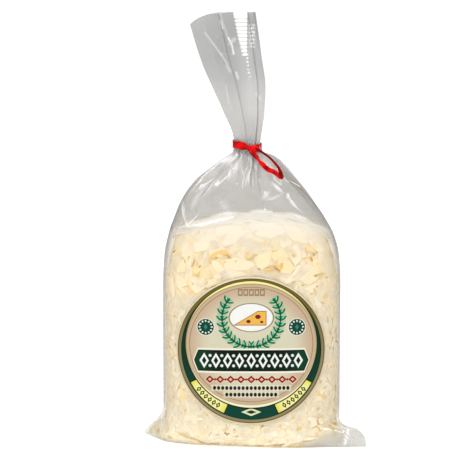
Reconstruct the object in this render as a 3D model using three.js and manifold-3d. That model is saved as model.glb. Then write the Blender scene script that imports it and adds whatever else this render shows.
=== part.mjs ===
// A clear film bag packed with shaved hard cheese, standing on its base. Millimetres, +Z up, front towards -Y.
//
// The bag is a plain film tube, sealed across the bottom. Filled, it stands as a rounded block, and the two
// corners of the seal stick out at the foot as ears. Above the cheese the film draws in to a neck, which a
// strip of tie gathers into folds, and over the neck the bag's mouth spreads into a pleated fan.
// A round paper label is stuck to the front.
//
// The origin is the middle of the base, on the surface that the bag stands on.
import * as THREE from 'three';
import Module from 'manifold-3d';
import { mergeVertices } from 'three/addons/utils/BufferGeometryUtils.js';

const wasm = await Module();
wasm.setup();

// --- driving dimensions -------------------------------------------------------------------------------
const BODY_HALF_WIDTH = 57.9;
const BODY_HALF_DEPTH = 30;
const MOUTH_TOP = 278; // the highest point of the cut edge over the neck
const BASE_EDGE = 9; // radius where the base turns up into the walls
const SEAL_LENGTH = 149.5; // the bottom seal, from the tip of one ear to the tip of the other
const SEAL_TURN = 0.235; // of the seal in plan: the right ear lies forwards, and the left one backwards
const SEAL_MIDDLE = [1.7, -6]; // a little to the right and to the front
const EAR_WEB = 4; // half thickness of an ear high up, where it is a web that runs into the wall
const NECK_LOW = 189; // the tie covers the neck from here
const NECK_HIGH = 198.5; // to here
const LABEL_RADIUS = 47.2;
const LABEL_HEIGHT = 64.6; // of its centre
const LABEL_THICKNESS = 0.5;
const TIE_WIDTH = 4;
const LOOP_WIDTH = 3; // the strip is rolled narrower in its loop
const TIE_THICKNESS = 0.9;
const CLEARANCE = 0.35; // between the bag and what is on it

// The bag's outline from the front, its half depth, and how square its section is, at a few heights.
const STATIONS = [
  { z: 0, left: -57.5, right: 58.3, depth: BODY_HALF_DEPTH, power: 3 },
  { z: 105, left: -57.1, right: 58.1, depth: BODY_HALF_DEPTH, power: 3 },
  { z: 122, left: -56.2, right: 57, depth: 28.8, power: 2.8 },
  { z: 135, left: -53.6, right: 53.8, depth: 26.4, power: 2.6 },
  { z: 147, left: -49.6, right: 47.5, depth: 23.4, power: 2.4 },
  { z: 160, left: -44, right: 38.7, depth: 19.2, power: 2.3 },
  { z: 171, left: -36.4, right: 30.2, depth: 15, power: 2.2 },
  { z: 181, left: -23.8, right: 21.6, depth: 10.8, power: 2.1 },
  { z: 186.6, left: -16, right: 15, depth: 7.8, power: 2 },
  { z: NECK_LOW, left: -12.6, right: 8, depth: 6.6, power: 2 },
  { z: 198, left: -12.2, right: 7, depth: 6, power: 2 },
  { z: 214, left: -17.8, right: 9, depth: 6.6, power: 2.3 },
  { z: 230, left: -24, right: 9.6, depth: 7.2, power: 2.5 },
  { z: 250, left: -31.4, right: 6.9, depth: 7.6, power: 2.55 },
  { z: MOUTH_TOP, left: -39.2, right: 2.8, depth: 8, power: 2.6 },
];

// --- helpers ------------------------------------------------------------------------------------------
const clamp01 = (value) => Math.min(1, Math.max(0, value));
const smooth = (value) => clamp01(value) ** 2 * (3 - 2 * clamp01(value));
const bell = (x, width) => Math.exp(-((x / width) ** 2));

// One value of the stations at height z, on a curve that never swings past them: a cubic whose slope at a
// station is the harmonic mean of the slopes on its two sides, or level where those differ in sign.
function stationValue(name, z) {
  const last = STATIONS.length - 1;
  const after = STATIONS.findIndex((station, index) => index > 0 && (z <= station.z || index === last));
  const rise = (i) => (STATIONS[i + 1][name] - STATIONS[i][name]) / (STATIONS[i + 1].z - STATIONS[i].z);
  const slope = (i) => {
    const below = rise(Math.max(0, i - 1));
    const above = rise(Math.min(last - 1, i));
    return below * above > 0 ? (2 * below * above) / (below + above) : 0;
  };
  const [a, b] = [STATIONS[after - 1], STATIONS[after]];
  const span = b.z - a.z;
  const t = clamp01((z - a.z) / span);
  return (
    a[name] * (1 + 2 * t) * (1 - t) ** 2 +
    b[name] * (3 - 2 * t) * t ** 2 +
    span * (slope(after - 1) * t * (1 - t) ** 2 - slope(after) * (1 - t) * t ** 2)
  );
}

// Joins rows of equally many points into a closed surface: each row to the next, and the ends to their middles.
function skin(rows) {
  const count = rows[0].length;
  const middle = (row) => row.reduce((sum, p) => sum.add(p), new THREE.Vector3()).divideScalar(count);
  const points = [...rows.flat(), middle(rows[0]), middle(rows[rows.length - 1])];
  const first = rows.length * count;
  const index = [];
  for (let i = 0; i < count; i++) {
    const next = (i + 1) % count;
    for (let row = 0; row + 1 < rows.length; row++) {
      const [low, high] = [row * count, (row + 1) * count];
      index.push(low + i, low + next, high + next, low + i, high + next, high + i);
    }
    const top = (rows.length - 1) * count;
    index.push(first, next, i, first + 1, top + i, top + next);
  }
  const geometry = new THREE.BufferGeometry().setFromPoints(points);
  geometry.setIndex(index);
  return geometry;
}

function solidOf(geometry) {
  const bare = geometry.clone();
  bare.deleteAttribute('normal');
  bare.deleteAttribute('uv');
  const merged = mergeVertices(bare, 1e-4);
  return new wasm.Manifold(
    new wasm.Mesh({
      numProp: 3,
      vertProperties: new Float32Array(merged.attributes.position.array),
      triVerts: new Uint32Array(merged.index.array),
    }),
  );
}

function geometryOf(solid) {
  const mesh = solid.getMesh();
  const geometry = new THREE.BufferGeometry();
  geometry.setAttribute('position', new THREE.BufferAttribute(mesh.vertProperties, 3));
  geometry.setIndex(new THREE.BufferAttribute(mesh.triVerts, 1));
  return geometry;
}

// --- the film's folds ---------------------------------------------------------------------------------
const SHOULDER_FOLDS = 13; // folds that run down from the tie
const SHOULDER_FOLD_REACH = [20, 44]; // shortest and longest
const FAN_FOLDS = 7; // folds that run up from the tie
const FOLD_HEIGHT = 1.9;

// A crest of height 1 at 0 that falls to 0 at -1 and 1.
const crest = (x) => Math.max(0, 1 - Math.abs(x)) ** 1.4;

// Angle between two directions, -PI to PI.
const turnBetween = (a, b) => Math.atan2(Math.sin(a - b), Math.cos(a - b));

// Sum of crests round the section, unevenly spaced. strength(i) is fold i's height there.
function crests(count, turn, strength) {
  let sum = 0;
  for (let i = 0; i < count; i++) {
    const at = (2 * Math.PI * (i + 0.3 * Math.sin(5.1 * i))) / count;
    sum += strength(i) * crest(turnBetween(turn, at) / ((1.1 * Math.PI) / count));
  }
  return sum;
}

// How far the film stands out of its section in the folds: none under the tie, most a little way from it.
function foldHeight(z, turn) {
  const drop = NECK_LOW - z;
  const climb = z - NECK_HIGH;
  if (drop > 0) {
    const [shortest, longest] = SHOULDER_FOLD_REACH;
    return crests(SHOULDER_FOLDS, turn, (i) => {
      const reach = shortest + (longest - shortest) * (0.5 + 0.5 * Math.sin(3.7 * i));
      return FOLD_HEIGHT * clamp01(drop / 8) * clamp01(1 - drop / reach);
    });
  }
  if (climb > 0) {
    return crests(FAN_FOLDS, turn, () => FOLD_HEIGHT * clamp01(climb / 24));
  }
  return 0;
}

// --- the bag ------------------------------------------------------------------------------------------
// The point of the bag's surface at height z in direction turn. inset draws the section in, as the base does.
function bagPoint(z, turn, inset = 0) {
  const left = stationValue('left', z);
  const right = stationValue('right', z);
  const halfWidth = (right - left) / 2 - inset;
  const halfDepth = stationValue('depth', z) - inset;
  const power = stationValue('power', z);
  const [across, away] = [Math.cos(turn), Math.sin(turn)];
  const radius =
    (Math.abs(across / halfWidth) ** power + Math.abs(away / halfDepth) ** power) ** (-1 / power) +
    foldHeight(z, turn);
  return fitMouth(new THREE.Vector3((left + right) / 2 + radius * across, radius * away, z));
}

// How far the base's edge keeps inside the body's outline: least at the front towards the right and at the
// left end, where the film under the bag is drawn out along its slanting seal.
function baseInset(turn) {
  const roundWay = Math.atan2((Math.sin(turn) * BODY_HALF_WIDTH) / BODY_HALF_DEPTH, Math.cos(turn));
  return 10.5 - 6.5 * bell(turnBetween(roundWay, -1.05), 0.55) - 5.5 * bell(turnBetween(roundWay, -2.75), 0.3);
}

// The corners of the bottom seal. Near the ground the wall runs out into an ear, which at height z has drawn in
// from its tip by exp(-(z / rise) ** power), and it ends at the height top. It is broad at the ground,
// and its end is blunt: from the tip it runs by blunt towards the front.
const earOf = (side, root, { rise, power, lift, ground, blunt, top }) => {
  const reach = (side * SEAL_LENGTH) / 2;
  const tip = [SEAL_MIDDLE[0] + reach * Math.cos(SEAL_TURN), SEAL_MIDDLE[1] - reach * Math.sin(SEAL_TURN)];
  return { side, root, tip, rise, power, lift, ground, blunt, top };
};
const EARS = [
  earOf(1, -0.3, { rise: 14.6, power: 4, lift: 0, ground: 17, blunt: [-6, -3.5], top: 13.7 }),
  earOf(-1, 2.99, { rise: 10.4, power: 1.9, lift: 0, ground: 24, blunt: [5, -16], top: 40 }),
];

function addEars(point, turn) {
  const height = point.z;
  for (const ear of EARS) {
    const aside = ear.side * turnBetween(ear.root, turn) * BODY_HALF_WIDTH; // above 0 towards the front
    const toFront = smooth(aside / 14);
    const width = EAR_WEB + (ear.ground - EAR_WEB) * Math.exp(-((height / 10) ** 1.6));
    const here =
      Math.exp(-((height / ear.rise) ** ear.power)) *
      Math.exp(-((Math.abs(aside) / width) ** 1.4)) *
      smooth((ear.top - height) / 2.2);
    point.x += (ear.tip[0] + ear.blunt[0] * toFront - point.x) * here;
    point.y += (ear.tip[1] + ear.blunt[1] * toFront - point.y) * here;
    point.z += ear.lift * here ** 2;
  }
  return point;
}

// The mouth's cut edge: level at the right, and falling away at the left.
const MOUTH_DROP = 8;
function fitMouth(point) {
  if (point.z <= NECK_HIGH) return point;
  const from = stationValue('right', MOUTH_TOP);
  const to = stationValue('left', MOUTH_TOP);
  const drop = MOUTH_DROP * clamp01((point.x - from) / (to - from)) ** 5;
  point.z -= (drop * (point.z - NECK_HIGH)) / (MOUTH_TOP - NECK_HIGH);
  return point;
}

// Directions round the section: the first is the right ear's, the middle one the left ear's, and they are
// closer together there.
const AROUND = 88;
const CROWDING = 0.34;
const turns = Array.from({ length: AROUND }, (_, i) => {
  const even = (2 * Math.PI * i) / AROUND;
  return even - CROWDING * Math.sin(2 * even) + EARS[0].root;
});

function evenly(from, to, steps) {
  return Array.from({ length: steps }, (_, i) => from + ((to - from) * (i + 1)) / steps);
}

function bagGeometry() {
  const base = (inwards) => (turn) => bagPoint(0, turn, baseInset(turn) + inwards * (24 - baseInset(turn)));
  const foot = (a) => (turn) =>
    addEars(bagPoint(BASE_EDGE * (1 - Math.cos(a)), turn, baseInset(turn) * (1 - Math.sin(a))), turn);
  const wall = (z) => (turn) => addEars(bagPoint(z, turn), turn);
  const rows = [
    ...[1, 0.4].map(base),
    ...[0, ...evenly(0, Math.PI / 2, 4)].map(foot),
    ...[10.5, 12, 13.7, 20, 28].map(wall),
    ...evenly(28, 112, 6).map(wall),
    ...evenly(112, NECK_LOW, 17).map(wall),
    ...evenly(NECK_LOW, NECK_HIGH, 3).map(wall),
    ...evenly(NECK_HIGH, MOUTH_TOP, 12).map(wall),
  ];
  return skin(rows.map((pointAt) => turns.map(pointAt)));
}

// --- the label ----------------------------------------------------------------------------------------
// The point of the bag's front at x across and height z, moved out by lift.
function frontPoint(x, z, lift) {
  const halfWidth = (stationValue('right', z) - stationValue('left', z)) / 2;
  const middle = (stationValue('right', z) + stationValue('left', z)) / 2;
  const power = stationValue('power', z);
  const depth = stationValue('depth', z);
  const share = Math.abs((x - middle) / halfWidth);
  const y = -depth * (1 - share ** power) ** (1 / power);
  const slope = (depth / halfWidth) * share ** (power - 1) * (-y / depth) ** (1 - power);
  const normal = new THREE.Vector3(Math.sign(x - middle) * slope, -1, 0).normalize();
  return new THREE.Vector3(x, y, z).addScaledVector(normal, lift);
}

// A thin disc that follows the bag's front: rings out over the face, and back under it.
function labelGeometry() {
  const rings = 9;
  const around = 48;
  const ring = (radius, lift) =>
    Array.from({ length: around }, (_, i) => {
      const a = (2 * Math.PI * i) / around;
      return frontPoint(radius * Math.cos(a), LABEL_HEIGHT + radius * Math.sin(a), lift);
    });
  const radii = evenly(0, LABEL_RADIUS, rings);
  const under = radii.map((radius) => ring(radius, CLEARANCE));
  const over = radii.map((radius) => ring(radius, CLEARANCE + LABEL_THICKNESS)).reverse();
  return skin([...under, ...over]);
}

// --- the tie ------------------------------------------------------------------------------------------
const TIE_MIDDLE = 193;
const TIE_SLANT = -0.12; // the band runs down to the right
const KNOT = new THREE.Vector3(1.2, -9.2, 191.4);
// The tail is one loop of the same strip, from the knot down over the right shoulder and back.
const LOOP = [
  [0.8, -9.8, 191.2],
  [0.4, -11.4, 190.2],
  [3.3, -13.4, 186.9],
  [6.8, -14.6, 182.8],
  [10.6, -15.6, 179.3],
  [14.8, -16.6, 177.7],
  [18.9, -17.6, 174.6],
  [17.5, -16.8, 179.4],
  [13.8, -15.2, 184.2],
  [9.3, -13.2, 188],
  [4.6, -11.2, 190.8],
].map((p) => new THREE.Vector3(...p));
const LOOP_LEAN = 0.95; // turn of the strip's flat side from the line of sight

// The band round the neck: an inner and an outer wall that follow the neck's section.
function bandGeometry() {
  const around = 36;
  const wall = (lift, up) =>
    Array.from({ length: around }, (_, i) => {
      const turn = (2 * Math.PI * i) / around;
      const point = bagPoint(TIE_MIDDLE, turn);
      const out = new THREE.Vector3(Math.cos(turn), Math.sin(turn), 0);
      point.addScaledVector(out, lift);
      point.z += up + TIE_SLANT * (point.x + 2.6);
      return point;
    });
  const [inner, outer] = [CLEARANCE + 0.35, CLEARANCE + 0.35 + TIE_THICKNESS];
  const half = TIE_WIDTH / 2;
  const belts = [wall(inner, -half), wall(outer, -half), wall(outer, half), wall(inner, half)];
  const points = belts.flat();
  const index = [];
  for (let belt = 0; belt < belts.length; belt++) {
    const [low, high] = [belt * around, ((belt + 1) % belts.length) * around];
    for (let i = 0; i < around; i++) {
      const next = (i + 1) % around;
      index.push(low + i, low + next, high + next, low + i, high + next, high + i);
    }
  }
  const geometry = new THREE.BufferGeometry().setFromPoints(points);
  geometry.setIndex(index);
  return geometry;
}

// The strip bent along the closed loop, its flat side leaning away from the line of sight.
function loopGeometry() {
  const steps = 40;
  const curve = new THREE.CatmullRomCurve3(LOOP, true, 'centripetal');
  const corners = Array.from({ length: steps }, (_, k) => {
    const at = curve.getPointAt(k / steps);
    const along = curve.getTangentAt(k / steps);
    const flat = new THREE.Vector3(0, -1, 0).applyAxisAngle(along, LOOP_LEAN);
    flat.addScaledVector(along, -flat.dot(along)).normalize();
    const thin = along.clone().cross(flat).normalize();
    const corner = (u, v) =>
      at.clone().addScaledVector(flat, (u * LOOP_WIDTH) / 2).addScaledVector(thin, (v * TIE_THICKNESS) / 2);
    return [corner(-1, -1), corner(1, -1), corner(1, 1), corner(-1, 1)];
  });
  const points = corners.flat();
  const index = [];
  for (let k = 0; k < steps; k++) {
    const [here, there] = [k * 4, ((k + 1) % steps) * 4];
    for (let c = 0; c < 4; c++) {
      const next = (c + 1) % 4;
      index.push(here + c, here + next, there + next, here + c, there + next, there + c);
    }
  }
  const geometry = new THREE.BufferGeometry().setFromPoints(points);
  geometry.setIndex(index);
  return geometry;
}

function tieGeometry() {
  const facingOut = (solid) => {
    if (solid.volume() > 0) return solid;
    throw new Error('a piece of the tie is inside out');
  };
  const knot = new THREE.SphereGeometry(1, 12, 8).scale(3.4, 1.9, 2.6);
  knot.translate(KNOT.x, KNOT.y, KNOT.z);
  const parts = [bandGeometry(), loopGeometry(), knot].map((g) => facingOut(solidOf(g)));
  return geometryOf(parts[0].add(parts[1]).add(parts[2]));
}

// --- the assembly -------------------------------------------------------------------------------------
function piece(name, geometry, color, roughness) {
  const mesh = new THREE.Mesh(geometry, new THREE.MeshStandardMaterial({ color, roughness, metalness: 0 }));
  mesh.name = name;
  return mesh;
}

const pack = new THREE.Group();
pack.add(
  piece('bag', bagGeometry(), 0xeadfc6, 0.35),
  piece('label', labelGeometry(), 0xd8cdb0, 0.5),
  piece('tie', tieGeometry(), 0xd81a14, 0.4),
);

export default pack;
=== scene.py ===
"""A clear film bag packed with shaved hard cheese, standing on its base, its mouth gathered by a red tie.

Lengths are in millimetres until put_mesh() writes a mesh in metres. +Z is up, and the front faces -Y.
A surface is a numpy function of a height and of a way round the bag, or of a place across a face.
"""

import math

import bpy
import numpy as np
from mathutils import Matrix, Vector


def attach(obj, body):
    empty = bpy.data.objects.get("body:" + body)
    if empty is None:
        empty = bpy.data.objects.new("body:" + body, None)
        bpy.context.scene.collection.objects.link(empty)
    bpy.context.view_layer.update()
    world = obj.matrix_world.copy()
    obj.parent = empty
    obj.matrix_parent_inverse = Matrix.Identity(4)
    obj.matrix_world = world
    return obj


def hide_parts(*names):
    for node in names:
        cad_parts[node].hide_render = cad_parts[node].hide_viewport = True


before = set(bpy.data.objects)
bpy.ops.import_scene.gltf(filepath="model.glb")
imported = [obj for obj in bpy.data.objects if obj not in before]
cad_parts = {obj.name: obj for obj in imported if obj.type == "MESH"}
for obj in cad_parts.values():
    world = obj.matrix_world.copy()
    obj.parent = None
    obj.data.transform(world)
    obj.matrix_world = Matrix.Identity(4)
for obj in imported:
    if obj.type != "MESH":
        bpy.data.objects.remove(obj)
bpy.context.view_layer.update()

MM = 0.001
rng = np.random.default_rng(8)

# --- driving dimensions, as in the part's source ---
BODY_HALF_WIDTH = 57.9
BODY_HALF_DEPTH = 30.0
MOUTH_TOP = 278.0
BASE_EDGE = 9.0
NECK_LOW = 189.0
NECK_HIGH = 198.5
SEAL_LENGTH = 149.5
SEAL_TURN = 0.235
SEAL_SHIFT = (1.7, -6.0)
LABEL_RADIUS = 47.5
LABEL_HEIGHT = 64.6
FILM_THICKNESS = 0.12
TIE_MIDDLE = 193.0
GIRTH = 304.0  # round the filled body
BODY_LEVEL = 60.0  # a height at which the body has its full section

# The bag's outline from the front, its half depth, and how square its section is, at a few heights.
STATION_HEIGHTS = [0, 105, 122, 135, 147, 160, 171, 181, 186.6, 189, 198, 214, 230, 250, MOUTH_TOP]
STATION_VALUES = {
    "left": [-57.5, -57.1, -56.2, -53.6, -49.6, -44, -36.4, -23.8, -16]
    + [-12.6, -12.2, -17.8, -24, -31.4, -39.2],
    "right": [58.3, 58.1, 57, 53.8, 47.5, 38.7, 30.2, 21.6, 15, 8, 7, 9, 9.6, 6.9, 2.8],
    "depth": [30, 30, 28.8, 26.4, 23.4, 19.2, 15, 10.8, 7.8, 6.6, 6, 6.6, 7.2, 7.6, 8],
    "power": [3, 3, 2.8, 2.6, 2.4, 2.3, 2.2, 2.1, 2, 2, 2, 2.3, 2.5, 2.55, 2.6],
}


# --- numbers ---
def ramp(low, high, value):
    """0 below low, 1 above high, and t t (3 - 2 t) between them."""
    t = np.clip((value - low) / (high - low), 0, 1)
    return t * t * (3 - 2 * t)


def bump(x, width):
    """The bell exp(-(x / width) squared)."""
    return np.exp(-((x / width) ** 2))


def turn_between(a, b):
    """The angle from direction b to direction a, between -PI and PI."""
    return np.angle(np.exp(1j * (a - b)))


def level_curve(heights, values):
    """A function of height: the cubic through the values whose slope at each is the harmonic mean of the
    slopes on its two sides, or level where those differ in sign, so that it never swings past them."""
    heights, values = np.array(heights, float), np.array(values, float)
    rise = np.diff(values) / np.diff(heights)
    below, above = np.r_[rise[0], rise], np.r_[rise, rise[-1]]
    same = below * above > 0
    slope = np.where(same, 2 * below * above / np.where(same, below + above, 1), 0)

    def at(z):
        k = np.clip(np.searchsorted(heights, z, side="right") - 1, 0, len(rise) - 1)
        span = heights[k + 1] - heights[k]
        t = np.clip((z - heights[k]) / span, 0, 1)
        return (
            values[k] * (1 + 2 * t) * (1 - t) ** 2
            + values[k + 1] * (3 - 2 * t) * t**2
            + span * (slope[k] * t * (1 - t) ** 2 - slope[k + 1] * (1 - t) * t**2)
        )

    return at


station = {name: level_curve(STATION_HEIGHTS, values) for name, values in STATION_VALUES.items()}


def section(z, turn, inset=0.0):
    """(x, y, outward x, outward y) on the bag's section at height z, in direction turn from its middle: the
    superellipse |x / a| ** p + |y / b| ** p = 1, with inset taken off both half lengths a and b."""
    left, right, p = station["left"](z), station["right"](z), station["power"](z)
    a, b = (right - left) / 2 - inset, station["depth"](z) - inset
    across, away = np.cos(turn), np.sin(turn)
    radius = (np.abs(across / a) ** p + np.abs(away / b) ** p) ** (-1 / p)
    out_x = np.sign(across) * np.abs(radius * across / a) ** (p - 1) / a
    out_y = np.sign(away) * np.abs(radius * away / b) ** (p - 1) / b
    size = np.hypot(out_x, out_y)
    return (left + right) / 2 + radius * across, radius * away, out_x / size, out_y / size


def cinch(z):
    """How far the tie draws the neck in across, as a share of its half width."""
    return 0.12 * bump(z - TIE_MIDDLE, 4.5)


def turns_at(shares):
    """Directions from the section's middle to the places at these shares of the girth, by arc length."""
    turn = np.linspace(-math.pi, math.pi, 4001)
    x, y, *_ = section(np.full_like(turn, BODY_LEVEL), turn)
    girth = np.r_[0, np.cumsum(np.hypot(np.diff(x), np.diff(y)))]
    return np.interp(np.mod(shares, 1.0) * girth[-1], girth, turn)


def around_body(columns, bunching=0.0):
    """The directions of columns spread round the bag, and their places along its girth, each as one row.
    bunching draws them closer to each other at the front."""
    shares = np.arange(columns) / columns
    shares = shares - bunching * np.sin(2 * math.pi * (shares - 0.25))
    return turns_at(shares)[None, :], (shares * GIRTH)[None, :]


def cells(u, v, size, seed, wrap=None):
    """Squared distance to the nearest of scattered points about size apart, over size squared: shallow bowls
    that meet in creases. wrap is the period of u."""
    draw = np.random.default_rng(seed)
    u_span = (u.min(), u.min() + wrap) if wrap else (u.min() - size, u.max() + size)
    v_span = (v.min() - size, v.max() + size)
    count = int((u_span[1] - u_span[0]) * (v_span[1] - v_span[0]) / size**2)
    at = draw.uniform((u_span[0], v_span[0]), (u_span[1], v_span[1]), (count, 2))
    nearest = np.full(u.shape, np.inf)
    for cu, cv in at:
        du = u - cu
        if wrap:
            du = (du + wrap / 2) % wrap - wrap / 2
        nearest = np.minimum(nearest, du**2 + (v - cv) ** 2)
    return nearest / size**2


def from_path(x, z, path):
    """Distance of each place (x, z) from the broken line through path's points, and the share of the line
    at which it is nearest."""
    path = np.array(path, float)
    steps = np.diff(path, axis=0)
    lengths = np.hypot(*steps.T)
    best, share, run = np.full(np.shape(x), np.inf), np.zeros(np.shape(x)), 0.0
    for start, step, length in zip(path, steps, lengths):
        t = np.clip(((x - start[0]) * step[0] + (z - start[1]) * step[1]) / length**2, 0, 1)
        away = np.hypot(x - start[0] - t * step[0], z - start[1] - t * step[1])
        share = np.where(away < best, (run + t * length) / lengths.sum(), share)
        best = np.minimum(best, away)
        run += length
    return best, share


# --- meshes ---
def grid_quads(rows, columns, closed=True, first=0):
    """Quads between the rows of a grid of points; closed joins the last column to the first."""
    r, c = np.mgrid[0 : rows - 1, 0 : columns if closed else columns - 1]
    low, high, beside = r * columns, (r + 1) * columns, (c + 1) % columns
    return np.stack([low + c, low + beside, high + beside, high + c], -1).reshape(-1, 4) + first


def fan(ring, middle, flip=False):
    """Triangles from a ring of points to its middle point."""
    after = np.roll(ring, -1)
    tris = np.stack([ring, after, np.full_like(ring, middle)], -1)
    return tris[:, ::-1] if flip else tris


def close_ends(rows, columns, low, first=0):
    """Triangles from a grid's first row to the point low, and from its last row to the point after it."""
    ring = first + np.arange(columns)
    return np.vstack([fan(ring, low, flip=True), fan(ring + (rows - 1) * columns, low + 1)])


def put_mesh(name, points, quads, tris=(), uvs=None, **values):
    """Makes the piece, in metres and with smooth faces. uvs and the named values are given at the points."""
    quads, tris = np.reshape(quads, (-1, 4)).astype(np.int32), np.reshape(tris, (-1, 3)).astype(np.int32)
    corners = np.r_[quads.ravel(), tris.ravel()]
    starts = np.r_[np.arange(len(quads)) * 4, len(quads) * 4 + np.arange(len(tris)) * 3]
    mesh = bpy.data.meshes.new(name)
    mesh.vertices.add(len(points))
    mesh.vertices.foreach_set("co", (np.asarray(points, np.float32) * MM).ravel())
    mesh.loops.add(len(corners))
    mesh.loops.foreach_set("vertex_index", corners)
    mesh.polygons.add(len(starts))
    mesh.polygons.foreach_set("loop_start", starts.astype(np.int32))
    mesh.update(calc_edges=True)
    mesh.polygons.foreach_set("use_smooth", np.ones(len(starts), bool))
    if uvs is not None:
        layer = mesh.uv_layers.new(name="UVMap")
        layer.data.foreach_set("uv", np.asarray(uvs, np.float32)[corners].ravel())
    for attribute_name, value in values.items():
        attribute = mesh.attributes.new(attribute_name, "FLOAT", "POINT")
        attribute.data.foreach_set("value", np.asarray(value, np.float32))
    if mesh.validate():
        raise ValueError(name + " has faulty faces")
    piece = bpy.data.objects.new(name, mesh)
    bpy.context.scene.collection.objects.link(piece)
    return piece


def give_wall(piece):
    """Gives an open sheet of film its wall, inwards from its face, and returns it."""
    wall = piece.modifiers.new("wall", "SOLIDIFY")
    wall.thickness = FILM_THICKNESS * MM
    wall.offset = -1
    wall.use_rim = True
    return piece


def finish_piece(piece, material, node):
    """Gives a piece its material and its place in the frame; node is the solid that it stands for."""
    piece.data.materials.append(material)
    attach(piece, "root")
    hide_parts(node)


# --- shaders ---
class Wire:
    """A node's output in arithmetic: each operator adds its Math node."""

    def __init__(self, paint, socket):
        self.paint, self.socket = paint, socket

    def math(self, operation, *values):
        return self.paint.node("ShaderNodeMath", {"operation": operation}, values)

    def __add__(self, other):
        return self.math("ADD", self, other)

    def __sub__(self, other):
        return self.math("SUBTRACT", self, other)

    def __rsub__(self, other):
        return self.math("SUBTRACT", other, self)

    def __mul__(self, other):
        return self.math("MULTIPLY", self, other)

    def __truediv__(self, other):
        return self.math("DIVIDE", self, other)

    def __pow__(self, other):
        return self.math("POWER", self, other)

    def __abs__(self):
        return self.math("ABSOLUTE", self)

    __radd__ = __add__
    __rmul__ = __mul__

    def least(self, other):
        return self.math("MINIMUM", self, other)

    def most(self, other):
        return self.math("MAXIMUM", self, other)

    def every(self, period):
        """The distance, with its sign, from the nearest multiple of period."""
        return self.math("FRACT", self / period + 0.5) * period - period / 2

    def ramp(self, low, high):
        """0 at low and 1 at high, smoothly, and the other way round where low is above high."""
        start, end, ends = (low, high, (0.0, 1.0)) if low < high else (high, low, (1.0, 0.0))
        settings = {"interpolation_type": "SMOOTHSTEP"}
        return self.paint.node("ShaderNodeMapRange", settings, (self, start, end, *ends))

    def under(self, limit, soft=0.12):
        """1 below limit and 0 above it, with an edge soft either way."""
        return self.ramp(limit + soft, limit - soft)


class Paint:
    """A material's node tree."""

    def __init__(self, name):
        self.material = bpy.data.materials.new(name)
        self.material.use_nodes = True
        self.tree = self.material.node_tree
        self.tree.nodes.clear()

    def node(self, kind, settings=None, inputs=(), output=0):
        """Adds a node. inputs are the values or wires of its sockets, in order or by name."""
        made = self.tree.nodes.new(kind)
        for name, value in (settings or {}).items():
            setattr(made, name, value)
        named = inputs.items() if isinstance(inputs, dict) else enumerate(inputs)
        for key, value in named:
            if isinstance(value, Wire):
                self.tree.links.new(value.socket, made.inputs[key])
            elif value is not None:
                made.inputs[key].default_value = value
        return Wire(self, made.outputs[output]) if len(made.outputs) else None

    def mix(self, factor, a, b):
        """The colour a where factor is 0 and b where it is 1."""
        inputs = {0: factor, 6: a, 7: b}
        return self.node("ShaderNodeMix", {"data_type": "RGBA"}, inputs, output=2)

    def parts(self, vector):
        """A vector's x, y and z."""
        split = self.node("ShaderNodeSeparateXYZ", inputs=(vector,))
        return [Wire(self, socket) for socket in split.socket.node.outputs]

    def noise(self, vector, scale, detail=2.0, roughness=0.5):
        """Noise of about 0 to 1, even over a surface."""
        inputs = {"Vector": vector, "Scale": scale, "Detail": detail, "Roughness": roughness}
        return self.node("ShaderNodeTexNoise", inputs=inputs)

    def place(self):
        """The place on the piece, in metres."""
        return self.node("ShaderNodeTexCoord", output=3)

    def attribute(self, name):
        """The value of that name which the piece has at its points."""
        return self.node("ShaderNodeAttribute", {"attribute_name": name}, output=2)

    def relief(self, height, strength, depth):
        """The normal of a surface raised by height times depth, in millimetres."""
        inputs = {"Strength": strength, "Distance": depth * MM, "Height": height}
        return self.node("ShaderNodeBump", inputs=inputs)

    def end(self, shader):
        """Makes shader the material's surface."""
        self.node("ShaderNodeOutputMaterial", inputs=(shader,))
        return self.material

    def end_solid(self, inputs):
        """Makes an ordinary shader with these inputs the material's surface."""
        return self.end(self.node("ShaderNodeBsdfPrincipled", inputs=inputs))


def srgb(red, green, blue):
    """A colour as it is seen, 0 to 255, as the linear colour that a shader takes."""
    seen = np.array([red, green, blue]) / 255
    linear = np.where(seen <= 0.04045, seen / 12.92, ((seen + 0.055) / 1.055) ** 2.4)
    return (*linear.tolist(), 1.0)


# --- the film's folds ---
PLEATS = 15  # round the neck
NECK_TUCK = 0.62  # share of the section's radius by which a pleat goes in at the neck

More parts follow.
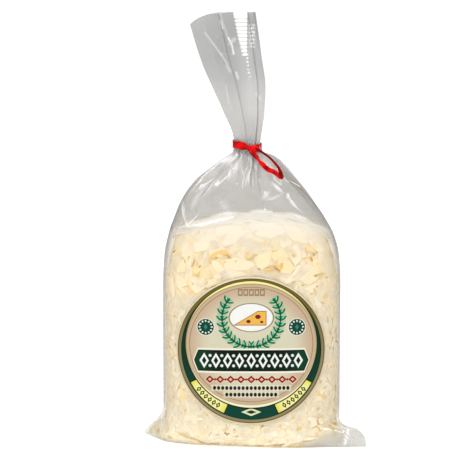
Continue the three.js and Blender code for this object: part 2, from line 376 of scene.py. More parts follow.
# Folds in the front's film above the cheese: (x, z) points, width, height outwards, and how white it is,
# which is a painted highlight laid along the fold. Those with no height are painted highlights alone.
FRONT_FOLDS = [
    ([(-23, 169.5), (-29.5, 165.5), (-36, 157.5), (-39, 150)], 2.8, 0.9, 0.5),
    ([(-43.7, 157.8), (-42.9, 149.6), (-40.9, 143.5)], 0.8, 0.7, 0.9),
    ([(-40.9, 143.2), (-32.6, 144.4), (-19.9, 147.8), (-11.6, 149.4)], 0.7, 0.4, 0.9),
    ([(-40.9, 143.5), (-35.2, 149.1), (-32.6, 151.6)], 0.7, -0.5, 0.6),
    ([(-17.4, 181.2), (-13.5, 184.3), (-9, 186.8)], 1.9, 0.5, 0.75),
    ([(-15, 184.5), (-12, 180)], 1.2, 0.3, 0.5),
    ([(-12.9, 179.5), (-14.8, 172.3)], 1.0, 0.6, 0.6),
    ([(-9.5, 184), (-9.5, 176)], 1.3, 0.5, 0.4),
    ([(-0.8, 179.7), (-2.7, 173.6), (-4.6, 167.5)], 1.0, 0.7, 0.6),
    ([(-2.7, 187.6), (0.8, 182), (4.3, 177.2)], 1.1, 0.7, 0.65),
    ([(11.9, 172.2), (16, 168), (20.2, 164.1)], 1.5, 0.8, 0.8),
    ([(6.8, 160.1), (11.9, 166.1)], 1.8, 0.6, 0.55),
    ([(6.8, 160.1), (14, 161), (20.2, 164)], 1.3, 0.5, 0.5),
    ([(-32.7, 170.3), (-40.4, 161.3)], 0.7, 0.4, 0.4),
    ([(-20, 160), (-16, 155), (-14, 152)], 3.2, 0.4, 0.35),
    ([(-34, 152), (-27, 156)], 5.0, 0.0, 0.22),
    ([(-12, 166), (-8, 160)], 4.5, 0.0, 0.16),
    ([(14, 160), (24, 156)], 3.5, 0.0, 0.16),
    ([(-22, 176), (-27, 172)], 3.0, 0.0, 0.25),
    ([(6, 172), (9, 166)], 3.5, 0.0, 0.2),
    ([(-18, 184), (-14.8, 180.7)], 2.6, 0.2, 0.4),
    ([(-16, 177.6), (-10.4, 173.5)], 2.4, 0.2, 0.3),
    ([(-1.4, 183), (4.3, 178.6)], 2.2, 0.2, 0.4),
    ([(-1.4, 176), (-2.1, 168.7)], 0.8, 0.3, 0.5),
    ([(-6.5, 181), (-4.6, 173.6)], 0.7, 0.3, 0.45),
    ([(-38.4, 155.5), (-30.7, 162.1), (-26, 167)], 1.2, 0.3, 0.45),
    ([(15.1, 169.7), (18.9, 165.3)], 1.0, 0.3, 0.5),
    ([(24, 172), (34, 160), (42, 147)], 8.0, 0.0, 0.1),
    ([(2, 178), (10, 168)], 6.0, 0.0, 0.1),
]


def drawn_folds(x, z, folds, taper=0.0):
    """How far the folds lift the film at (x, z), and how white they are, which is a painted highlight along
    each fold. A fold's share is the bell of the distance from its line over its width, and by taper it fades
    towards the line's two ends."""
    lift, white = np.zeros_like(x), np.zeros_like(x)
    for path, width, height, painted_highlight in folds:
        away, along = from_path(x, z, path)
        share = bump(away, width) * (1 - taper + taper * np.sin(math.pi * np.clip(along, 0.05, 0.95)))
        lift, white = lift + height * share, np.maximum(white, painted_highlight * share)
    return lift, white


def pleat_depth(z, turn):
    """Share of the radius by which the film goes in: waves round the neck, PLEATS of them, unevenly spaced,
    each dying out below the neck as exp(-(drop / reach) ** 1.5) with a reach of its own."""
    drop = np.maximum(NECK_LOW + 3 - z, 0)
    phase = PLEATS * turn / (2 * math.pi) + 0.4 * np.sin(2 * turn + 0.8) + 0.22 * np.sin(5 * turn)
    wave = (0.5 - 0.5 * np.cos(2 * math.pi * phase)) ** 0.8
    reach = 13 + 5 * np.sin(4 * turn + 1) + 4 * np.sin(7 * turn + 2.2)
    return NECK_TUCK * wave * np.exp(-((drop / reach) ** 1.5))


def base_inset(turn):
    """How far the base's edge keeps inside the body's outline: least at the front towards the right and at the
    left end, where the film under the bag is drawn out along its slanting seal."""
    round_way = np.arctan2(np.sin(turn) * BODY_HALF_WIDTH / BODY_HALF_DEPTH, np.cos(turn))
    front_right, left_end = turn_between(round_way, -1.05), turn_between(round_way, -2.75)
    return 10.5 - 6.5 * bump(front_right, 0.55) - 5.5 * bump(left_end, 0.3)


# Each ear's side, the direction of its root, rise, power, width at the ground, the way from its tip to the
# front end of its blunt edge, and the height over which it has no share.
EARS = (
    (1, -0.3, 14.6, 4.0, 17.0, (-6.0, -3.5), 13.7),
    (-1, 2.99, 10.4, 1.9, 24.0, (5.0, -16.0), 40.0),
)
EAR_WEB = 4.0  # the ears' width where they are a web
# the right ear's white line is a painted highlight along its root
RIGHT_EAR_HIGHLIGHT = [(63.5, 13), (62, 8), (60.5, 2)]  # (x, z) of the white line at the right ear's root


def run_out(x, y, z, turn, grow):
    """Draws the film out into the two ears. An ear's share of the way to its tip, times its grow, falls as
    exp(-(z / rise) ** power) with height and as exp(-(aside / width) ** 1.4) to its two sides. The width
    shrinks with height, so that the ear is a wedge at the ground and a thin web above."""
    for (side, root, rise, power, ground, blunt, top), part in zip(EARS, grow):
        reach = side * SEAL_LENGTH / 2
        aside = side * turn_between(root, turn) * BODY_HALF_WIDTH  # above 0 towards the front
        to_front = ramp(0, 14, aside)
        tip_x = SEAL_SHIFT[0] + reach * math.cos(SEAL_TURN) + blunt[0] * to_front
        tip_y = SEAL_SHIFT[1] - reach * math.sin(SEAL_TURN) + blunt[1] * to_front
        width = EAR_WEB + (ground - EAR_WEB) * np.exp(-((z / 10) ** 1.6))
        share = part * np.exp(-((z / rise) ** power)) * np.exp(-((np.abs(aside) / width) ** 1.4))
        share = share * ramp(top, top - 2.2, z)
        x, y = x + (tip_x - x) * share, y + (tip_y - y) * share
    return x, y


def film_body_points(z, turn, girth_place, inset, on_wall):
    """The film from the base to the neck: the bag's section, drawn in by the pleats, then moved outwards by
    ridges and by bowl-shaped crumples, and run out into the ears near the ground, but not under the base,
    where on_wall is 0. With each point go three values: haze, how thick the film's veil is, raised over the
    heap's top as a painted glare; white, how much painted highlight it has, as a white line along a fold; and
    above, 1 where there is no cheese behind it, where the veil is painted a darker grey as shade."""
    x, y, out_x, out_y = section(z, turn, inset)
    left, right = station["left"](z), station["right"](z)
    middle = (left + right) / 2
    tuck = 1 - pleat_depth(z, turn)
    x, y = middle + (x - middle) * tuck * (1 - cinch(z)), y * tuck

    slack = ramp(132, 152, z)  # the film is loose over the cheese
    crumple = cells(girth_place, z, 13, 3, GIRTH) * 0.5 + cells(girth_place, z, 6, 4, GIRTH) * 0.16
    lift = crumple * slack * ramp(196, 176, z)
    lift += 0.12 * cells(girth_place, z, 8, 5, GIRTH) * ramp(118, 128, z) * (1 - slack)
    front = ramp(0.1, -0.5, out_y)
    edge = heap_height(x, 0 * x) + 5.4 - 3.2 * from_peak(x) ** 2  # the heap's far edge, as the camera sees it
    # where above is 1 the veil is painted a darker grey as shade: over the empty headspace and, in patches, in
    # strips beside the cheese
    above = np.where(front > 0.5, ramp(edge - 0.8, edge + 0.8, z), ramp(138, 150, z))
    beside = ramp(0.91, 1.0, np.abs(x - middle) / (right - middle)) * ramp(104, 142, z)  # no cheese lies there
    beside = beside * (0.5 + 0.5 * ramp(0.1, 0.5, cells(girth_place, z, 11, 7, GIRTH)))
    above = np.maximum(above, beside)
    # the folds lift the film, and their white lines are painted highlights
    fold, white = drawn_folds(x, z, FRONT_FOLDS, taper=0.65)
    lift, white = lift + fold * front, white * front
    x, y = x + lift * out_x, y + lift * out_y

    ear_x, ear_y = run_out(x, y, z, turn, (on_wall, on_wall))
    drawn = np.hypot(ear_x - x, ear_y - y)
    away, _ = from_path(ear_x, z, RIGHT_EAR_HIGHLIGHT)
    # painted highlight: a white line at the right ear's root
    white = np.maximum(white, 0.8 * bump(away, 0.9) * ramp(6, 10, drawn) * ramp(0, -0.1, np.sin(turn)))
    creased = ramp(1, 6, drawn) * ramp(24, 14, drawn) * ramp(0, 3, z)
    crease = (cells(z, girth_place, 5, 6) - 0.3) * 1.6 * creased
    # haze: over the heap's top the cream veil thickens as a painted glare; it is thicker too beside the
    # cheese, near the neck and in the ears
    haze = 0.01 + 0.28 * np.maximum(ramp(124, 146, z), 0.8 * beside) + 0.2 * ramp(172, 190, z)
    haze = haze + np.where(np.cos(turn) > 0, 0.36, 0.3) * ramp(2.5, 9, drawn)
    return np.stack([ear_x, ear_y + crease, z], -1), haze, white, above


# Heights of the rows of points in the film's wall, closer together where it is crumpled: from, to, step.
WALL_ROWS = (
    (9.8, 15, 0.8),
    (16, 28, 2),
    (30, 120, 4.5),
    (121, 135, 1.8),
    (136, 187.4, 0.9),
    (188, 195.6, 0.8),
)
BASE_MIDDLE = 24.0  # how far inside the outline the base's innermost ring lies


def make_film_body(material):
    """The film of the filled bag: rings in from the base's edge, that edge's quarter round, and the wall."""
    columns = 380
    edge = np.linspace(0, math.pi / 2, 7)[1:]
    under = [1.0, 0.7, 0.35]  # rings of the base, as shares of the way in from its edge
    wall = [height for span in WALL_ROWS for height in np.arange(*span)]
    z = np.array([0] * len(under) + [0, *(BASE_EDGE * (1 - np.cos(edge)))] + wall)[:, None]
    from_edge = np.array([0] * len(under) + [1, *(1 - np.sin(edge))] + [0] * len(wall))[:, None]
    inwards = np.array(under + [0] * (len(z) - len(under)))[:, None]
    spread = (z, from_edge, inwards, *around_body(columns, 0.06))
    z, from_edge, inwards, turn, place = np.broadcast_arrays(*spread)
    rim = base_inset(turn)
    inset = np.where(inwards > 0, rim + inwards * (BASE_MIDDLE - rim), rim * from_edge)
    points, *values = film_body_points(z, turn, place, inset, inwards == 0)
    points = points.reshape(-1, 3)
    haze, white, above = (np.r_[value.ravel(), end] for value, end in zip(values, (0.01, 0, 0)))
    quads, tris = grid_quads(len(z), columns), fan(np.arange(columns), len(points), flip=True)
    points = np.vstack([points, points[:columns].mean(0)])
    piece = put_mesh("film_body", points, quads, tris, haze=haze, white=white, above=above)
    finish_piece(give_wall(piece), material, "bag")


# --- the mouth over the tie ---
# Round the mouth's film in plan: share of the width at the cut edge, the same at the neck, and share of the
# half depth. It runs from the left edge over the front's panels to the right edge and back behind them.
MOUTH_FOLDS = [
    (0.00, 0.02, 0.00), (0.20, 0.26, -0.50), (0.44, 0.46, -0.58), (0.37, 0.40, -0.49), (0.64, 0.62, -0.49),
    (0.885, 0.80, -0.56), (0.80, 0.72, -0.42), (1.00, 0.98, -0.48), (0.97, 0.94, 0.00), (0.55, 0.50, 0.08),
    (0.85, 0.84, 0.26), (0.20, 0.25, 0.46), (0.62, 0.58, 0.62), (0.30, 0.30, 0.40),
]
# Fine folds in the mouth's front film: (x, z) points, width, height outwards, and how white it is, which is
# a painted highlight laid along the fold. Those with no height are painted highlights alone.
MOUTH_RIDGES = [
    ([(-29.6, 268.2), (-22.8, 257.6), (-15.2, 245.7)], 0.5, 0.5, 0.3),
    ([(-20, 277.5), (-18.6, 273.1), (-16.7, 267.5), (-14.8, 261.8), (-11.6, 255.5)], 0.7, 0.6, 0.2),
    ([(-19.6, 273), (-18, 268)], 0.6, 0.3, 0.45),
    ([(-14.6, 262), (-12.2, 257), (-11.2, 252)], 0.7, 0.5, 0.6),
    ([(-10.7, 261), (-13.5, 258.5)], 1.3, 0.0, 0.3),
    ([(-20, 262), (-17.5, 254)], 1.6, -0.9, 0.0),
    ([(-3.2, 253), (-0.6, 244), (0.8, 236)], 0.7, 0.3, 0.0),
    ([(-15.5, 245), (-13.4, 241)], 0.8, 0.2, 0.25),
    ([(-9.5, 240), (-8.4, 236.5)], 0.9, 0.3, 0.35),
    ([(-16, 232), (-14.5, 221)], 0.8, 0.5, 0.15),
    ([(-22, 221), (-19, 216)], 0.9, 0.5, 0.3),
    ([(3, 227), (5.5, 223)], 1.3, 0.5, 0.25),
    ([(-4, 252), (-1, 236), (2, 218)], 7.0, 0.0, 0.13),
]
MOUTH_DROP = 8.0  # the cut edge falls away by this much at the left
# the crimp's ribs are ripples in the film, each also painted with a white bar as a highlight
CRIMP_STEP = 2.35  # from one of the crimp's ribs to the next
MOUTH_HAZE = 0.58


def mouth_points(rows, columns):
    """The film over the tie, how crimped it is, and its painted highlights, the white lines along its folds.
    At each height it is the closed broken line through MOUTH_FOLDS, its corners rounded, between the bag's
    left and right outlines. Ripples run across the panels at the right."""
    low = TIE_MIDDLE - 2.2
    z = low + (MOUTH_TOP - low) * rows
    climb = ramp(low, MOUTH_TOP, z)
    folds = np.array(MOUTH_FOLDS)
    loop = np.vstack([folds, folds[:1]])
    length = np.hypot(np.diff(loop[:, 0]), 0.3 * np.diff(loop[:, 2]))
    run = np.r_[0, np.cumsum(length)] / length.sum()
    place = np.arange(columns) / columns
    top, foot, depth = (np.interp(place, run, loop[:, k]) for k in range(3))
    kernel = np.array([1, 3, 4, 3, 1]) / 12

    def rounded(values):
        padded = np.r_[values[-2:], values, values[:2]]
        return np.convolve(padded, kernel, "valid")

    top, foot, depth = rounded(top), rounded(foot), rounded(depth)
    z, climb = z[:, None], climb[:, None]
    left, right = station["left"](z), station["right"](z)
    share = foot + (top - foot) * climb
    x = left + (right - left) * (share + (0.5 - share) * cinch(z))
    y = station["depth"](z) * depth * (1.25 - 0.25 * climb)
    place = place[None, :]

    gathers = 0.2 * np.sin(2 * math.pi * place * 46 + 2 * np.sin(9 * place)) * (1 - ramp(0, 28, z - low))
    crumple = 0.4 * cells(x + 60 * (y > 0), z + 0 * x, 11, 11) * ramp(200, 214, z)
    folded = ramp(run[4], run[4] + 0.01, place) * ramp(run[7], run[7] - 0.01, place)  # the panels at the right
    crimp = folded * crimped(x, z)
    ripple = 0.17 * np.abs(np.sin(math.pi * z / CRIMP_STEP)) * crimp
    y = y + gathers + crumple - ripple + 0.09 * np.maximum(z - 250, 0) * folded
    front = ramp(-0.02, -0.2, depth)[None, :]
    # the folds lift the film, and their white lines are painted highlights
    fold, white = drawn_folds(x, z + 0 * x, MOUTH_RIDGES)
    y, white = y - fold * front, white * front

    slope = np.clip((right - x) / (right - left), 0, 1)
    z = z - MOUTH_DROP * slope**5 * ramp(NECK_HIGH, MOUTH_TOP, z) - 0 * place
    return np.stack([x, y, z], -1), crimp + 0 * z, white


def crimped(x, z):
    """How far the film is crimped: a column that narrows from 10 mm at the cut edge, a weaker one beside it,
    and a thin line of marks that runs down from the first. The film ripples there, and the material paints
    white bars and marks over it as highlights."""
    left = np.interp(z, [250, 256, 262, 273, 278], [-5.5, -7.2, -9.1, -12.2, -12.6]) + 0.7 * np.sin(2.9 * z)
    wide = ramp(left - 1, left + 1.6, x) * ramp(-2.2, -3.2, x) * ramp(249.8, 251, z)
    patchy = 0.55 + 0.3 * np.sin(1.9 * x + 2 * np.sin(1.3 * z)) + 0.15 * np.sin(5.1 * x - 0.7 * z)
    beside = ramp(-2.4, -0.8, x) * ramp(3.2, 1.8, x) * ramp(254.6, 256.2, z) * ramp(271, 269.5, z) * patchy
    line, _ = from_path(x, z + 0 * x, [(-2.8, 252), (-2.3, 246), (-0.9, 236)])
    return np.maximum(wide, np.maximum(0.7 * beside, 0.8 * patchy * bump(line, 1.1)))


def make_film_mouth(material):
    """The film over the tie, with its rows closer together over the crimp."""
    columns = 420
    rows = np.r_[np.linspace(0, 0.62, 44)[:-1], np.linspace(0.62, 1, 68)]
    points, crimp, white = mouth_points(rows, columns)
    points = points.reshape(-1, 3)
    # above is 1 over all the mouth, so its whole veil is painted grey as shade
    even = {"haze": np.full(len(points), MOUTH_HAZE), "above": np.ones(len(points))}
    quads = grid_quads(len(rows), columns)
    piece = put_mesh("film_mouth", points, quads, crimp=crimp.ravel(), white=white.ravel(), **even)
    finish_piece(give_wall(piece), material, "bag")


# --- the cheese ---
def from_peak(x):
    """The share of the way from the heap's highest place, at x = 6, to its left or its right end."""
    return np.where(x < 6, (6 - x) / 58, (x - 6) / 44)


def heap_height(x, y):
    """The top of the heap: a low dome, highest at x = 6 and falling by 11 to the bag's sides, with lumps."""
    dome = 148.2 - 11.0 * np.abs(from_peak(x)) ** 2.4 - 0.003 * y**2
    return dome + 0.9 * np.sin(x / 7 + 1) * np.sin(y / 6) + 0.6 * np.sin(x / 3.7) * np.cos(y / 5)


def slack_at_sides(turn, z):
    """How far the cheese keeps from the film: close at the front and back, further at the two sides, and
    most there near the heap's top."""
    return 0.4 + (1.3 + 2.6 * ramp(108, 130, z)) * np.abs(np.cos(turn)) ** 10


def wall_point(place, z, depth):
    """The point depth inside the film's wall, place along the girth and at height z. Under BASE_EDGE the
    wall turns in along the base's round edge, and beside the ears it runs part of the way out into them."""
    turn = turns_at(place / GIRTH)
    foot = np.clip(1 - z / BASE_EDGE, 0, 1)
    inset = depth + slack_at_sides(turn, z) + base_inset(turn) * (1 - np.sqrt(1 - foot**2))
    x, y, *_ = section(z, turn, inset)
    return run_out(x, y, z, turn, CHEESE_IN_EARS)


CHEESE_IN_EARS = (0.36, 0.86)  # the share of the right and of the left ear's reach that the cheese takes
CORE_DEPTH = 4.0  # the core's top lies this far under the heap's


def make_cheese_core(material):
    """The inside of the heap, a lumpy closed form: its wall lies 1.2 mm and more behind the cheese's face, and
    its top is drawn in from the wall's upper row to the middle."""
    columns, wall_rows, top_rows = 200, 70, 26
    _, place = around_body(columns)
    edge = wall_point(place, np.full_like(place, 128.0), 5.0)
    z = (heap_height(*edge) - CORE_DEPTH) * np.linspace(0.012, 1, wall_rows)[:, None]
    place = place + 0 * z
    lumps = 1.6 * cells(place, z, 8, 21, GIRTH) + 0.7 * cells(place, z, 3.5, 22, GIRTH)
    x, y = wall_point(place, z, 1.2 + 0.6 * lumps)
    inwards = np.linspace(1, 0, top_rows + 1)[1:-1, None]
    top_x, top_y = x[-1] * inwards, y[-1] * inwards
    top_z = heap_height(top_x, top_y) - CORE_DEPTH + 1.5 * cells(top_x, top_y, 7, 23)
    grid = np.concatenate([np.stack([x, y, z], -1), np.stack([top_x, top_y, top_z], -1)])
    points = grid.reshape(-1, 3)
    ends = np.array([grid[0].mean(0), [0, 0, heap_height(0, 0) - CORE_DEPTH]])
    quads, tris = grid_quads(len(grid), columns), close_ends(len(grid), columns, len(points))
    piece = put_mesh("cheese_core", np.vstack([points, ends]), quads, tris)
    finish_piece(piece, material, "bag")


def flake_outlines(count, sides, rings, ragged):
    """(a, b) of each flake's points in its own plane, before its size is set: rings of points about a middle
    point. The edge's radius is 1 with two and three swells of its own, torn by up to ragged."""
    angle = 2 * math.pi * np.arange(sides) / sides
    angle = angle[None, :] + rng.uniform(-0.4, 0.4, (count, sides)) * math.pi / sides
    swell = rng.uniform(0, 2 * math.pi, (2, count, 1))
    edge = 0.92 + 0.13 * np.cos(2 * angle + swell[0]) + 0.12 * np.cos(3 * angle + swell[1])
    edge = edge * (1 + ragged * rng.uniform(-1, 0.5, (count, sides)))
    share = ((np.arange(rings) + 1) / rings)[None, :, None] ** 0.7
    middle = np.zeros((count, 1))
    a, b = ((edge * way)[:, None, :] * share for way in (np.cos(angle), np.sin(angle)))
    return np.hstack([middle, a.reshape(count, -1)]), np.hstack([middle, b.reshape(count, -1)])


def flake_faces(count, sides, rings):
    """Quads and triangles of count closed flakes: the points of a flake's face, then those of its back."""
    ring = np.arange(sides)
    after = (ring + 1) % sides
    low = 1 + sides * np.arange(rings - 1)[:, None]
    high = low + sides
    face_quads = np.stack([low + ring, high + ring, high + after, low + after], -1).reshape(-1, 4)
    one = 1 + rings * sides
    outer = 1 + (rings - 1) * sides
    rim = np.stack([outer + ring, one + outer + ring, one + outer + after, outer + after], -1)
    quads = np.vstack([face_quads, face_quads[:, ::-1] + one, rim])
    face_tris = np.stack([ring + 1, after + 1, np.zeros_like(ring)], -1)
    tris = np.vstack([face_tris, face_tris[:, ::-1] + one])
    first = (np.arange(count) * 2 * one)[:, None, None]
    return (quads[None] + first).reshape(-1, 4), (tris[None] + first).reshape(-1, 3)


def put_flakes(name, material, face, back, sides, rings, tint):
    """Makes the flakes whose points are face and back, count by points by 3, with one tint for each."""
    count = len(face)
    points = np.concatenate([face, back], 1).reshape(-1, 3)
    quads, tris = flake_faces(count, sides, rings)
    piece = put_mesh(name, points, quads, tris, tint=np.repeat(tint, len(points) // count))
    piece.data.set_sharp_from_angle(angle=math.radians(35))
    finish_piece(piece, material, "bag")


def turned(a, b, angle):
    """(a, b) turned by angle, one angle for each row."""
    c, s = np.cos(angle)[:, None], np.sin(angle)[:, None]
    return a * c - b * s, a * s + b * c


def front_place(x):
    """The place along the girth at which the body's front is at x."""
    places = np.linspace(0, GIRTH / 2, 400)
    across, *_ = section(np.full_like(places, BODY_LEVEL), turns_at(places / GIRTH))
    return np.interp(x, across, places)


def pressed_flakes(
    name, material, count, sides, rings, thickness, ragged, spans, tilt, tints, nearest, chosen=()
):
    """Flakes that lie against the film. Each is laid out along the girth and the height, tipped and curled,
    and pressed flat wherever it would come nearer to the film than nearest: its depth d becomes
    nearest + log(1 + exp(3 d)) / 3. spans gives from and to for the height, the half length, the half width
    and the depth. The tints run from the first to the second of tints by a random share to the power of the
    third. The first flakes are the chosen ones on the front."""
    heights, half_length, half_width, depth = spans
    place, z = rng.uniform(0, GIRTH, count), rng.uniform(*heights, count)
    length, width = rng.uniform(*half_length, count)[:, None], rng.uniform(*half_width, count)[:, None]
    slant = rng.uniform(0, math.pi, count)
    first = slice(len(chosen))
    if chosen:
        x, z[first], length[first, 0], width[first, 0], degrees, tone = np.array(chosen).T
        place[first], slant[first] = front_place(x), np.radians(degrees)
    a, b = flake_outlines(count, sides, rings, ragged)
    a, b = a * length, b * width
    curl = rng.normal(0, 0.22, count)[:, None] * (b / width) ** 2 * width * 0.3
    curl = curl + rng.normal(0, 0.04, count)[:, None] * a * b / width
    tip_a, tip_b = rng.normal(0, tilt, (2, count, 1))
    deep = rng.uniform(*depth, count)[:, None] + tip_a * a + tip_b * b + curl
    along, up = turned(a, b, slant)
    deep = nearest + np.logaddexp(0, deep * 3) / 3
    place, z = place[:, None] + along, np.maximum(z[:, None] + up, 0.25)
    top = heap_height(*wall_point(place, z, deep)) - 0.8
    over = np.maximum(z - top, 0)  # what would stand over the heap's rim lies down on its top
    deep, z = deep + over, np.minimum(z, top) - 0.3 * bump(over - 3, 2.5)
    thick = (thickness * rng.uniform(0.7, 1.3, count))[:, None]
    face = np.stack([*wall_point(place, z, deep), z], -1)
    back = np.stack([*wall_point(place, z, deep + thick), z], -1)
    low, high, power = tints
    tint = low + (high - low) * rng.uniform(0, 1, count) ** power
    if chosen:
        tint[first] = tone
    put_flakes(name, material, face, back, sides, rings, tint)


# Flakes that can be told apart at the front: x, z, half length, half width, slant in degrees, tint.
FRONT_FLAKES = [
    (-17, 139, 16, 8, -8, -0.15), (16, 142, 16, 7.5, 4, -0.15), (-33, 134, 11, 6.5, 20, -0.05),
    (36, 139, 13, 6, -14, 0.0), (2, 131, 13, 6, -10, 0.1), (-9, 120, 11, 5, 0, -0.05),
    (-14, 112, 13, 6, 5, -0.1), (30.8, 125.5, 7.5, 5.2, 62, 0.0), (22, 127, 9, 5, 20, 0.25),
    (23, 119, 8, 6, -20, 0.3), (30.3, 116.4, 6.4, 1.4, 45, -0.2), (24.5, 109.8, 5, 2.4, 30, -0.15),
    (-42.8, 115.9, 10, 1.5, 86, -0.1), (-47.5, 118, 6, 3.5, 80, 0.2), (-37, 116.6, 5.2, 3.0, 55, 0.4),
    (-26.8, 131.2, 5.0, 3.6, 30, 0.28), (-26, 108.5, 9, 3, 10, 0.2), (8.6, 132.5, 5.5, 3.6, 62, 0.3),
    (40, 112, 9, 5, 20, 0.15), (46, 104, 6, 6, 60, 0.35), (43.5, 129, 4.6, 2.2, 0, 0.7),
    (-46.6, 135.1, 2.6, 3.8, 8, 0.5), (-30.6, 142.5, 2.2, 2.4, 20, 0.35),
    (-40.4, 102.5, 5.4, 2.4, -25, 0.65), (-47.2, 100.4, 4.4, 1.7, -40, 0.5),
]
# Thin yellow to brown flakes above the label, likewise: painted shade in the gaps between flakes, and
# yellow flake edges.
GAP_SHADE_SLIVERS = [
    (19.2, 118.6, 3.4, 2.4, 20, 0.85), (-2.1, 125.9, 2.8, 2.2, 8, 0.7), (-25.2, 126.4, 3.6, 2.0, 42, 0.95),
    (-20.2, 128.2, 4.0, 1.9, -3, 1.0), (-15.6, 126.2, 3.2, 1.6, -45, 0.95),
    (-15.4, 125.2, 2.3, 0.5, -42, 1.9), (-24.0, 124.4, 1.3, 0.4, 20, 1.7),
    (-27.8, 122.2, 1.8, 0.9, 10, 1.2), (-17.9, 121.8, 1.2, 0.7, 40, 0.95),
    (-10.5, 122.2, 0.8, 0.5, 40, 1.5), (-27.9, 144.2, 0.9, 0.5, 40, 1.3), (-37, 119.4, 0.9, 1.4, 30, 0.8),
    (-34.6, 118.6, 1.1, 0.6, 50, 1.8), (-39.9, 120.4, 3.8, 0.4, 82, 1.6), (-36.4, 113.2, 3.2, 0.8, 14, 1.1),
    (-48.3, 122.6, 1.3, 0.4, 60, 1.3), (-46.3, 121.3, 1.6, 0.4, 120, 1.3),
    (-44.0, 123.8, 1.4, 0.4, 70, 1.2), (-29.2, 108.3, 1.7, 0.4, 68, 1.5), (-19.2, 111.7, 0.8, 0.6, 20, 1.4),
    (-43, 105.4, 3.4, 0.6, 10, 1.2), (4.5, 141.2, 2.2, 0.6, 25, 1.35), (3, 139.2, 1.6, 0.5, -30, 0.8),
    (10.7, 134.6, 3.1, 0.8, 74, 1.1), (12.4, 117.3, 3.4, 1.1, 8, 1.25), (17.2, 117.2, 2.7, 0.6, -38, 2.0),
    (20.6, 119.8, 2.0, 1.2, 70, 0.95), (5.1, 117.5, 1.2, 0.5, -8, 1.9), (42, 122.9, 2.4, 0.6, -68, 1.8),
    (44.6, 125.5, 1.3, 0.8, 10, 1.9), (47.4, 126.7, 1.0, 0.5, 60, 1.8), (39.8, 128.0, 2.8, 0.6, 80, 1.25),
    (46.2, 112.8, 4.4, 0.9, 2, 1.3), (42.6, 112.4, 1.4, 0.7, 2, 1.7), (50.2, 110.6, 1.2, 0.5, 10, 1.6),
    (27.3, 108.4, 1.5, 0.8, 30, 1.5), (33.4, 106.8, 1.5, 0.4, 10, 1.8), (41.4, 102.8, 3.2, 0.8, -60, 1.35),
    (43, 105.4, 1.2, 0.5, 30, 1.7), (39.6, 101, 1.4, 0.6, 40, 1.2), (49, 98.2, 2.8, 1.1, 0, 1.1),
]
# Olive and brown strips along the base's front edge, and pale and brown specks in the left ear, likewise.
CRUMBS = [
    (-45, 8.4, 6.0, 0.9, -2, 1.15), (-38, 5.4, 6.0, 1.0, -14, 1.5), (-33.5, 2.8, 4.4, 1.0, -24, 1.7),
    (-27, 2.2, 5.2, 1.1, 3, 1.6), (-21.9, 9.6, 1.6, 0.5, 8, 1.4), (-14, 2.0, 5.2, 1.0, 6, 1.35),
    (-4, 1.5, 3.8, 0.8, -5, 1.0), (6.5, 1.4, 4.2, 0.8, 3, 1.0), (18, 1.5, 5.6, 1.0, -4, 1.5),
    (30, 1.8, 7.0, 1.5, 3, 1.2), (43, 1.7, 6.4, 1.3, 3, 1.4), (36.5, 6.2, 4.0, 1.0, 2, -0.6),
    (35.5, 4.4, 4.2, 0.5, 4, 1.7), (31.7, 13.2, 2.1, 1.2, 30, 1.15), (51, 10, 5.0, 1.0, 72, 1.25),
    (54, 4.6, 4.4, 1.2, 70, 1.0), (39.1, 19.4, 2.4, 1.5, 10, -0.6), (40.3, 25.9, 2.0, 1.6, 80, -0.6),
    (-33.5, 19.6, 2.6, 1.0, 10, -0.6), (-11, 13, 0.7, 0.5, 40, 1.9), (-51, 11, 2.4, 1.1, 60, -0.6),
    (-48.5, 14, 1.6, 1.0, 20, -0.6), (-55, 9, 1.6, 0.7, 10, 1.2), (-58, 5, 1.8, 0.7, -30, 1.3),
    (-60, 8, 1.5, 0.8, 50, -0.6), (-56.5, 14, 1.4, 0.7, 50, 1.0), (-62, 4, 2.0, 0.8, -20, 0.9),
    (-53, 4, 3.4, 0.8, -10, 1.0),
]
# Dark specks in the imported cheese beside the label, likewise.
MARKS = [
    (52.2, 64.1, 1.7, 0.5, 80, 1.4), (53, 51.7, 1.1, 0.4, 60, 1.5), (46.1, 43.1, 1.7, 0.4, 50, 1.7),
    (48.8, 38.7, 2.4, 0.4, -10, 1.2), (46.3, 20.0, 3.0, 0.5, 20, 1.1), (50.6, 83, 0.9, 2.2, 20, 1.3),
    (47, 94.5, 2.2, 1.0, -20, 1.1), (52.8, 74, 0.9, 0.4, 60, 1.7), (49, 33, 2.6, 0.4, 4, 1.1),
    (-50.1, 66.9, 0.9, 0.5, 60, 1.6), (-44.4, 38.2, 1.0, 0.5, 10, 1.5), (-51.6, 32.1, 0.9, 0.6, 30, 1.5),
    (-50.5, 85, 2.6, 0.8, -10, 0.8),
]
